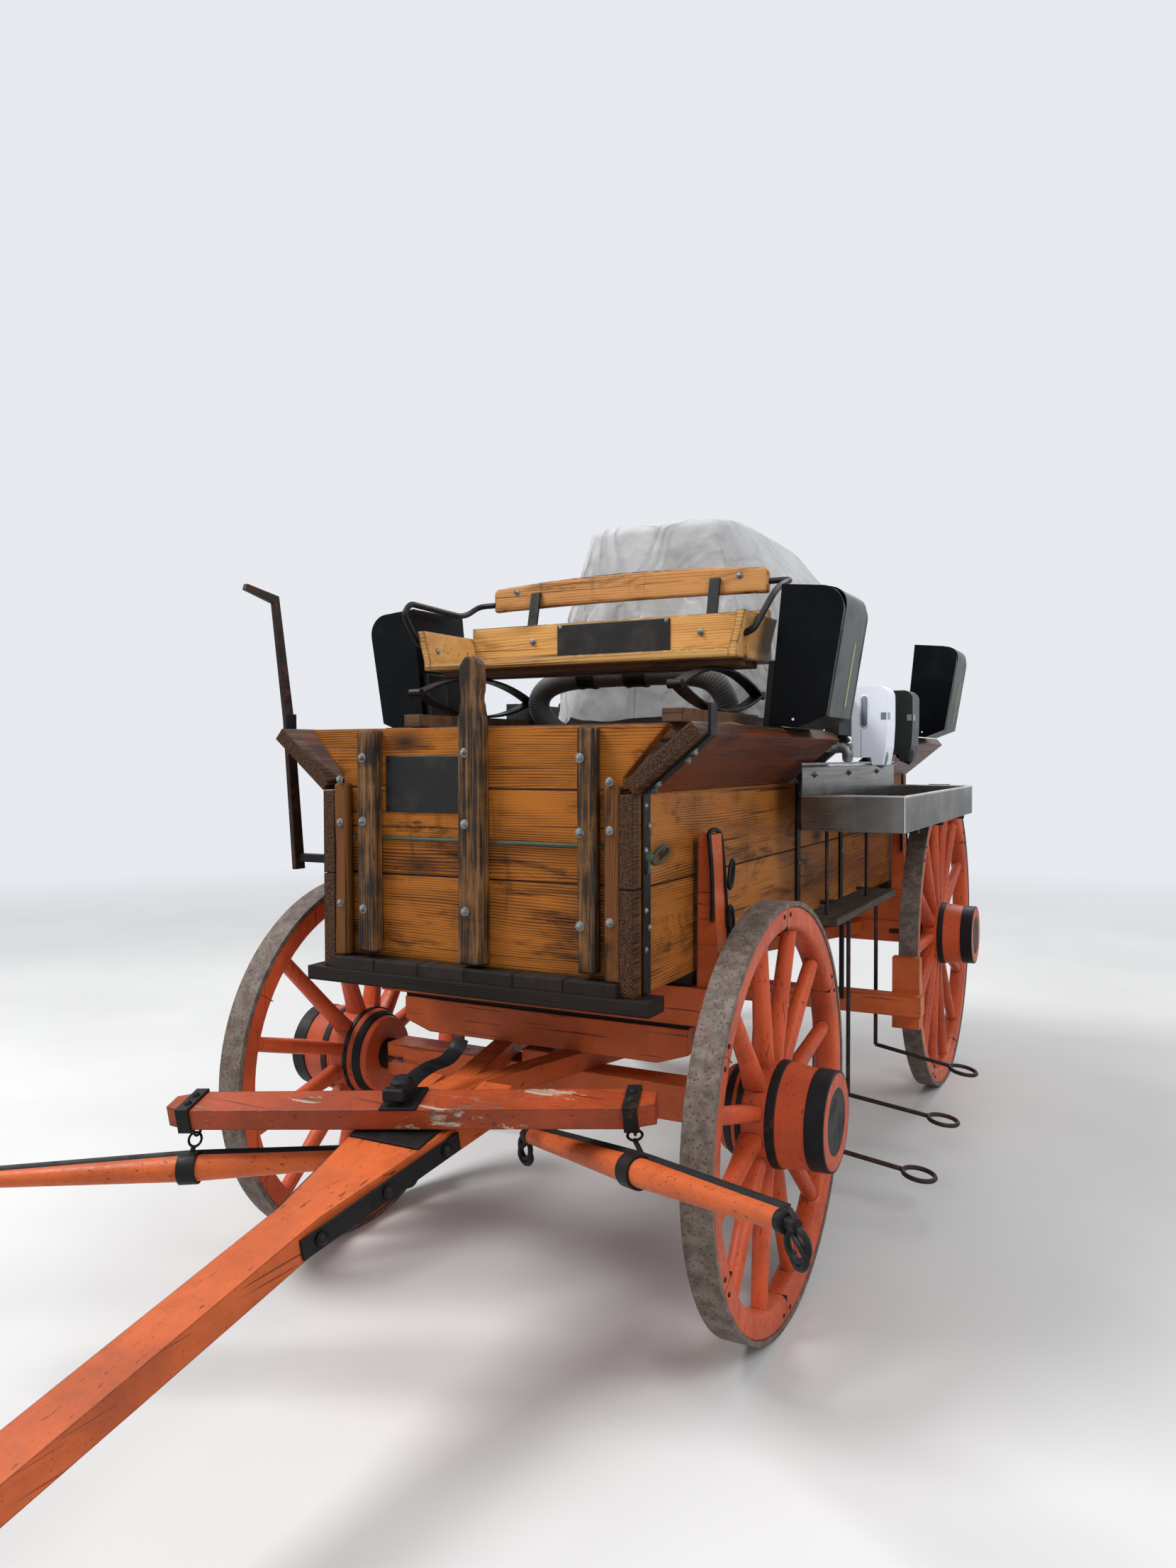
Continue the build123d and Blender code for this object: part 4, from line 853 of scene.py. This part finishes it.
def canvas_folds(c, sn, x, y, z, rise):
    """How far the cloth stands out from the smooth cover: pleats at the corners, creases over the faces."""
    fall = 1 - rise
    corner = max(0, 1 - 1.7 * abs(abs(c) - abs(sn)))
    sway = drift(c * 2.2, sn * 2.2, z * 0.0014)
    waves = sin(atan2(sn, c) * 17 + 9 * sway + 0.0018 * z)
    gathered = 0.45 + 1.3 * drift(c * 3.1 + 7, sn * 3.1, z * 0.0011)
    pleat = (0.55 - abs(waves) ** 0.7) * min(1, max(0, gathered))
    deep = (7 + 26 * corner ** 2) * (0.3 + 0.7 * fall ** 0.7)
    if c > 0.3 or sn > 0.2:
        deep += 8 * fall
    creases = 0
    for scale, size in ((2.6, 22), (6, 13), (13, 5)):
        across, down = Vector((x, y, 0)) * 0.001 * scale, z * 0.0006 * scale
        q = Vector((across.x + 0.5 * down, across.y - 0.3 * down, down)) + Vector((scale, 1, 3))
        creases += size * (0.32 - abs(noise.noise(q)) * 1.9)
    broad = 18 * drift(x * 0.0019 + z * 0.0012 + 4, y * 0.0019 + 2, z * 0.0019 - x * 0.0009 + 8)
    return pleat * deep + (creases + broad) * (0.35 + 0.65 * fall)


# One draped sheet, in loops from the hem to the middle of the top
around = 420
# rise from the hem, how far in over the top
rows = [(k / 62 * 0.955, 0) for k in range(62)]
for k in range(7):
    bend = k * pi / 12
    rows.append((0.955 + 0.045 * sin(bend), 0.075 * (1 - cos(bend))))
rows += [(1, inward) for inward in (0.12, 0.17, 0.23, 0.3, 0.38, 0.47, 0.57, 0.68, 0.8, 0.92)]
verts = []
for i, (rise, inward) in enumerate(rows):
    for turn in turns(around):
        c, sn = cos(turn), sin(turn)
        x, y, z = canvas_point(turn, rise, inward)
        top = min(1, inward / 0.1)
        out = Vector((squared(c, 1.8), squared(sn, 1.8), 0)).normalized()
        drop = (canvas_folds(c, sn, x, y, z, rise) - 7) * (1 - top)
        p = Vector((x, y, z)) + out * drop
        p.z += 5 * drift(x * 0.004, y * 0.004, 5) * rise
        p.z += top * (5 * (1 - abs(drift(x * 0.006, y * 0.009, 9)) * 3))
        if i == 0:
            p.z += 26 * drift(c * 3, sn * 3, 9)
        verts.append(at(p.x, p.y, min(p.z, CANVAS_TOP)))
faces = quads(len(rows), around)
peak = len(verts)
verts.append(at(0, (CANVAS_FRONT[1] + CANVAS_REAR[1]) / 2, 2343))
last = (len(rows) - 1) * around
faces += [[last + k, last + (k + 1) % around, peak] for k in range(around)]
obj = piece("canvas_sheet", (verts, faces), "canvas")
shade(obj.data, 75)
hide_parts("canvas_cover")


def evenly(path, step):
    """Points at even steps along a line."""
    out = [path[0]]
    left = step
    for a, b in zip(path, path[1:]):
        run = (b - a).length
        done = 0
        while run - done >= left:
            done += left
            out.append(a.lerp(b, done / run))
            left = step
        left -= run - done
    if (path[-1] - out[-1]).length < step / 2:
        out.pop()
    out.append(path[-1])
    return out


# Hose behind the seat: the same points as the frame's hose
HOSE_ROUTE = ((300, 859.5, 1520), (300, 740, 1520), (345, 640, 1620), (320, 605, 1735), (230, 600, 1778),
              (-40, 600, 1780), (-300, 600, 1772), (-385, 605, 1700), (-340, 620, 1610), (-240, 660, 1550),
              (-200, 740, 1480), (-200, 859.5, 1480))
HOSE_RADIUS, RIB_DEPTH = 0.0385, 0.0016
POINTS_PER_RIB = 4

# A ribbed hose along a smooth line, with black couplings where the photograph has them
line = bpy.data.curves.new("hose_line", "CURVE")
line.dimensions = "3D"
line.resolution_u = 40
spline = line.splines.new("NURBS")
spline.points.add(len(HOSE_ROUTE) - 1)
for point, place in zip(spline.points, HOSE_ROUTE):
    point.co = (*at(*place), 1)
spline.order_u = 3
spline.use_endpoint_u = True
carrier = add("hose_line", line)
even = evenly([v.co.copy() for v in baked(carrier).vertices], 0.0022)
ribs = [HOSE_RADIUS - RIB_DEPTH * (0.5 + 0.5 * cos(k * 2 * pi / POINTS_PER_RIB)) for k in range(len(even))]
obj = piece("ribbed_hose", tube(even, ribs, 24), "hose")
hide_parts("suction_hose")
cuffs = []
for low, high in ((-198, -134), (-20, 59)):
    run = (high - low) / 1000
    profile = [(0, 0.036), (0, 0.0425), (0.004, 0.0445), (0.012, 0.0445), (0.014, 0.042),
               (run - 0.014, 0.042), (run - 0.012, 0.0445), (run, 0.0445), (run, 0.036)]
    cuffs.append(lathe(at(low, 600, 1779), (1, 0, 0), profile, 28))
piece("hose_couplings", cuffs, "coupling")

# Towel dispensers: a satin outer cover, a pale strip and a screw
TOWELS = ((1, 288), (1, 2230), (-1, 212), (-1, 2230))
TOWEL_BASE, TOWEL_X, TOWEL_LEAN, TOWEL_WIDTH = 1592, 585, radians(5.5), 290
TOWEL_DEPTH, TOWEL_HEIGHT, TOWEL_CORNER = 190, 407, 66
# The foot and the slope of the outer face
TOWEL_FOOT, TOWEL_SLOPE = Vector((165, 40)), Vector((25, 367))


def towel_curve():
    """The outer outline, from the underside over the rounded top to the back."""
    points = [Vector((85.5, 0)), TOWEL_FOOT]
    lean_out = TOWEL_SLOPE.normalized()
    corner = Vector((TOWEL_DEPTH, TOWEL_HEIGHT))
    half = atan2(lean_out.y, lean_out.x)
    set_back = TOWEL_CORNER * tan((pi - half) / 2) * 0.92
    start = corner - lean_out * set_back
    end = corner - Vector((set_back, 0))
    points.append(TOWEL_FOOT.lerp(start, 0.5))
    points += rounded(start, corner, end, 10)
    points.append(Vector((0, TOWEL_HEIGHT)))
    return points


def towel_place(side, y0, out, up, along_wagon, proud=0):
    """A place on a leaning dispenser, from its own outline."""
    x = out * cos(TOWEL_LEAN) + up * sin(TOWEL_LEAN)
    z = up * cos(TOWEL_LEAN) - out * sin(TOWEL_LEAN)
    return at(side * (TOWEL_X + x + proud), y0 + along_wagon, TOWEL_BASE + z)


for n, (side, y0) in enumerate(TOWELS):
    outline = towel_curve()
    middle = Vector((85, 220))
    shell = [(p + (p - middle).normalized() * 2.2) for p in outline[1:-1]]
    under = [(p - (p - middle).normalized() * 3) for p in outline[1:-1]]
    edges = ((26, 0.9), (29, 1.9), (35, 2.2))
    stations = edges + tuple((TOWEL_WIDTH - along, proud) for along, proud in reversed(edges))
    verts = []
    for along_wagon, proud in stations:
        for p, q in zip(shell, under):
            place = q.lerp(p, (proud + 3) / 5.2)
            verts.append(towel_place(side, y0, place.x, place.y, along_wagon))
    faces = quads(len(stations), len(shell), around=False)
    cover = piece("towel_cover_%d" % n, (verts, faces), "outer_cover")
    shade(cover.data, 60)
    # the pale strip runs up the outer face
    strip = []
    for k in range(9):
        up = 70 + 190 * k / 8
        out = TOWEL_FOOT.x + (up - TOWEL_FOOT.y) * TOWEL_SLOPE.x / TOWEL_SLOPE.y + 2.6
        strip.append(towel_place(side, y0, out, up, 178))
    mark = tube(strip, 0.0068, 8, False, 0.3, (side, 0, 0))
    piece("towel_strip_%d" % n, mark, "pale_strip")
    dot = towel_place(side, y0, 70, 22, 0)
    screw_shape = [(0, 0.0042), (0.0018, 0.0038), (0.0022, 0.002)]
    screw = lathe(dot + Vector((0, 0.0005, 0)), FORE, screw_shape, 12)
    piece("towel_screw_%d" % n, screw, "white")


# Soap dispensers: a slot window, a seam, a side label and a nozzle cover
def slot_shape(centre, axis, width, height, thick, up=(0, 0, 1)):
    """A flat bar with round ends, lying square to an axis."""
    d = Vector(axis).normalized()
    v = Vector(up)
    u = v.cross(d).normalized()
    r = width / 2
    rim = []
    for t in turns(24):
        lift = (height / 2 - r) * (1 if sin(t) >= 0 else -1)
        rim.append(u * (r * cos(t)) + v * (r * sin(t) + lift))
    verts = [Vector(centre) + p for p in rim] + [Vector(centre) + p * 0.94 + d * thick for p in rim]
    return verts, quads(2, 24) + caps(2, 24)


# Radii along the nozzle cover, from its low end up
NOZZLE_RADII = [0.03, 0.031, 0.032, 0.032, 0.031, 0.029, 0.027, 0.024, 0.02, 0.016, 0.01]
# kind, front face along the wagon, bottom, top, depth away from the box
SOAPS = (("white", 1000, 1470, 1742, 122), ("dark", 1457, 1480, 1750, 118))

for tag, y, bottom, top, depth in SOAPS:
    case = "white" if tag == "white" else "grey_cover"
    for hand, side in SIDES:
        border = slot_shape(at(side * 693, y - 0.2, top - 87), FORE, 0.031, 0.118, 0.0016)
        window = slot_shape(at(side * 693, y - 1.4, top - 87), FORE, 0.0225, 0.108, 0.0012)
        outer = plate(at(side * (648 + depth + 0.3), y + 28, top - 104), (0.0012, 0.034, 0.024))
        front = plate(at(side * (648 + depth - 12), y - 0.4, top - 104), (0.018, 0.0012, 0.024))
        seam = plate(at(side * 682, y - 0.1, (bottom + top) / 2 - 70), (0.0014, 0.0008, 0.118))
        spots = [at(side * x, y + 36, bottom + up) for x, up in ((722, 4), (740, 30), (756, 52))]
        nose = tube(curve_through(spots, 5), NOZZLE_RADII, 18)
        parts = (("slot_frame", border, case), ("slot", window, "window"),
                 ("label", [outer, front], "window"), ("seam", seam, "seam_grey"),
                 ("nozzle", nose, "window" if tag == "white" else "grey_cover"))
        for part, mesh_data, finish in parts:
            piece("soap_%s_%s_%s" % (part, tag, hand), mesh_data, finish)


# Rims of the troughs, screws of their upright, elbows beside the dispensers. The rims and the corner folds
# take a lighter copy of the stainless: a painted highlight.
for tag, side in SIDES:
    rim = []
    for x0, x1, y0, y1 in ((575, 900, 651, 651), (899, 899, 650, 2020), (575, 900, 2019, 2019)):
        rim.append(tube([at(side * x0, y0, 1374.5), at(side * x1, y1, 1374.5)], 0.0042, 8))
    lip = tube([at(side * 577, 650, 1476.5), at(side * 577, 2020, 1476.5)], 0.0036, 8)
    bend = plate(at(side * 586, 1335, 1469), (0.02, 1.37, 0.0022), Matrix.Rotation(side * 0.5, 3, "Y"))
    piece("trough_rim_" + tag, [lip, bend, *rim], "stainless_highlight")
    folds = []
    for y in (650.5, 2019.5):
        folds.append(tube([at(side * 899.5, y, 1263), at(side * 899.5, y, 1374)], 0.003, 8))
    piece("trough_corner_" + tag, folds, "stainless_highlight")
    screws = [bolted(at(side * 579.4, y, 1440), (side, 0, 0), 0.012) for y in (790, 1240, 1690)]
    piece("trough_screws_" + tag, screws, "galvanised")
    for k in range(3):
        y = 880 + 457 * k
        turn = ((560, 1530), (648, 1530), (662, 1524), (666, 1508), (666, 1484))
        route = [at(side * x, y, z) for x, z in turn]
        bend = tube(route, [0.0165, 0.0165, 0.019, 0.019, 0.0165], 16)
        collar = [(0, 0.0165), (0, 0.0195), (0.016, 0.0195), (0.016, 0.0165)]
        cuff = lathe(at(side * 618, y, 1530), (side, 0, 0), collar, 16)
        piece("elbow_%s_%d" % (tag, k), [bend, cuff], "galvanised")


# Hitch: the tongue's slope, and the height of its top face at the front axle
TONGUE_SLOPE = radians(11.3)
TONGUE_TOP = 64 / cos(TONGUE_SLOPE) + tan(TONGUE_SLOPE) * 3460
# The doubletree's turn, and the place along of its pin
DOUBLETREE_YAW, DOUBLETREE_PIN = radians(17.7), -668


def on_doubletree(x, y, up):
    """A place on the doubletree: along it, across it and up from the tongue's top face."""
    u = x * cos(DOUBLETREE_YAW) - y * sin(DOUBLETREE_YAW)
    v = x * sin(DOUBLETREE_YAW) + y * cos(DOUBLETREE_YAW)
    cy = DOUBLETREE_PIN + v * cos(TONGUE_SLOPE) - up * sin(TONGUE_SLOPE)
    cz = TONGUE_TOP + tan(TONGUE_SLOPE) * DOUBLETREE_PIN + v * sin(TONGUE_SLOPE) + up * cos(TONGUE_SLOPE)
    return at(u, cy, cz)


# The strap over the pin, the pin's head, and the bolts of the tongue and of the clips
up = Vector((0, -sin(TONGUE_SLOPE), cos(TONGUE_SLOPE)))
bends = ((4, 4, 88), (14, 62, 92), (30, 130, 84), (48, 190, 70), (60, 240, 74), (72, 262, 96))
strap = curve_through([on_doubletree(*bend) for bend in bends])
piece("hammer_strap", tube(strap, 0.021, 10, False, 0.24, (0.3, 0.2, 1)), "iron", "doubletree")
head = lathe(on_doubletree(0, 0, 84), up, [(0, 0.0275), (0.006, 0.029), (0.03, 0.0265), (0.036, 0.02)], 8)
turn = Matrix.Rotation(DOUBLETREE_YAW, 3, "Z")
lug = plate(on_doubletree(-10, -30, 92), (0.052, 0.03, 0.03), turn, 0.004)
piece("pin_head", [head, lug], "iron", "doubletree")
bolts = []
for side in (1, -1):
    for t in (0.1, 0.5, 0.9):
        x = side * (60 + 69 * t + 7.5)
        y = -1100 + 460 * t
        z = TONGUE_TOP + tan(TONGUE_SLOPE) * y - 34
        bolts.append(dome_bolt(at(x, y, z), (side, -0.15, 0), 0.012, 0.008))
piece("tongue_bolts", bolts, "iron", "tongue")
clips = [dome_bolt(on_doubletree(side * 550, y, 68.4), up, 0.0075) for side in (1, -1) for y in (-20, 20)]
piece("clip_bolts", clips, "iron", "doubletree")

# Singletrees: side, centre, turn about the vertical, tilt of the right end
SINGLETREES = (("right", (579, -621, 593.6), -31.6, 8), ("left", (-508, -869.4, 495.3), 28, 3))


def singletree_strap(tag, centre, yaw, tilt):
    """The strap along a singletree, with a ferrule and a hook at each end."""
    a, t = radians(yaw), radians(tilt)
    along_bar = Vector((cos(a) * cos(t), sin(a) * cos(t), sin(t)))
    back = Vector((-sin(a), cos(a), 0))
    up = along_bar.cross(back)
    middle = at(*centre)

    def spot(x, y, z):
        return middle + (along_bar * x + back * y + up * z) / 1000

    # the bar tapers from its middle, and the strap lies on its upper back
    strap = []
    for x in (-493, -400, -280, -150, -60, 0, 60, 150, 280, 400, 493):
        r = 31 * (1 - 0.38 * max(0, abs(x) - 22) / 473) + 1.2
        strap.append(spot(x, r * 0.62, r * 0.78))
    broad_side = tuple(along_bar.cross(back * 0.62 + up * 0.78))
    bar = tube(curve_through(strap, 3), 0.0135, 8, False, 0.2, broad_side)
    ends = []
    for end in (1, -1):
        bends = ((486, 15, 17), (500, 12, 16), (514, 8, 8), (517, 4, -8), (522, 0, -22), (540, -4, -34),
                 (551, -4, -52), (540, -2, -70), (520, 2, -74), (506, 4, -62), (508, 4, -50))
        hook = [spot(end * x, y, z) for x, y, z in bends]
        ends.append(tube(curve_through(hook, 6), 0.0072, 10))
        ferrule = [(0, 0.021), (0.002, 0.0225), (0.016, 0.0222), (0.018, 0.019)]
        ends.append(lathe(spot(end * 485, 0, 0), along_bar * end, ferrule, 20))
    piece("singletree_strap_" + tag, [bar, *ends], "iron", "singletree_" + tag)


for row in SINGLETREES:
    singletree_strap(*row)

# Studio
BACKGROUND = (0.93, 0.95, 1, 1)
BACKGROUND_LEVEL = 0.86
floor = add("studio_floor", bpy.data.meshes.new("studio_floor"))
floor.data.from_pydata([(-60, -60, 0), (60, -60, 0), (60, 60, 0), (-60, 60, 0)], [], [(0, 1, 2, 3)])
pale = Shader("pale_floor")
pale_tone = pale.patches(0.6, 3, 0.55, 0.3, 0.7)
pale.finish(pale.mix(pale_tone, (0.6, 0.6, 0.59, 1), (0.66, 0.66, 0.65, 1)), 0.9)
distance = pale.new("VectorMath", {0: pale.place}, operation="LENGTH").outputs["Value"]
from_camera = pale.new("LightPath").outputs["Is Camera Ray"]
far = pale.times(pale.ramp(distance, 4.5, 13), from_camera)
glow = pale.new("Emission", {"Color": BACKGROUND, "Strength": BACKGROUND_LEVEL}).outputs[0]
blend = pale.new("MixShader", {0: far, 1: pale.bsdf.outputs[0], 2: glow}).outputs[0]
pale.feed(pale.tree.nodes["Material Output"].inputs["Surface"], blend)
floor.data.materials.append(pale.material)

world = bpy.data.worlds.new("studio")
scene.world = world
world.use_nodes = True
sky = Nodes(world.node_tree)
rays = sky.new("LightPath").outputs
seen = sky.maths("MAXIMUM", rays["Is Camera Ray"], rays["Is Glossy Ray"])
strength = sky.new("MapRange", {"Value": seen, "To Min": 0.5, "To Max": BACKGROUND_LEVEL})
background = sky.tree.nodes["Background"]
sky.feed(background.inputs["Strength"], strength.outputs["Result"])
sky.feed(background.inputs["Color"], BACKGROUND)


def lamp(name, place, target, power):
    light = bpy.data.lights.new(name, "AREA")
    light.shape = "DISK"
    light.size = 4
    light.energy = power
    obj = add(name, light)
    obj.location = place
    obj.rotation_euler = (Vector(target) - Vector(place)).to_track_quat("-Z", "Y").to_euler()


lamp("key", (-4.5, -2.5, 8), (0, 1, 0.8), 760)
lamp("fill", (6, -2, 6), (0, 1, 0.9), 260)
lamp("back", (1, 8, 7), (0, 1.5, 1.2), 260)

# Camera, where the photograph was taken
YAW, PITCH, ROLL = 0.48052, -0.02473, 0.00277
SENSOR_WIDTH = 36
FOCAL_PIXELS, PHOTO_HEIGHT = 1538.28, 2212
camera = add("camera", bpy.data.cameras.new("camera"))
forward = Vector((-sin(YAW) * cos(PITCH), cos(YAW) * cos(PITCH), sin(PITCH)))
camera.location = at(1584.3, -2765.8, 1500.4)
camera.rotation_mode = "QUATERNION"
roll = Matrix.Rotation(-ROLL, 4, "Z").to_quaternion()
camera.rotation_quaternion = forward.to_track_quat("-Z", "Y") @ roll
camera.data.sensor_width = SENSOR_WIDTH
camera.data.lens = SENSOR_WIDTH * FOCAL_PIXELS / PHOTO_HEIGHT
camera.data.clip_start = 0.05
camera.data.clip_end = 200
scene.camera = camera
scene.view_settings.view_transform = "Standard"
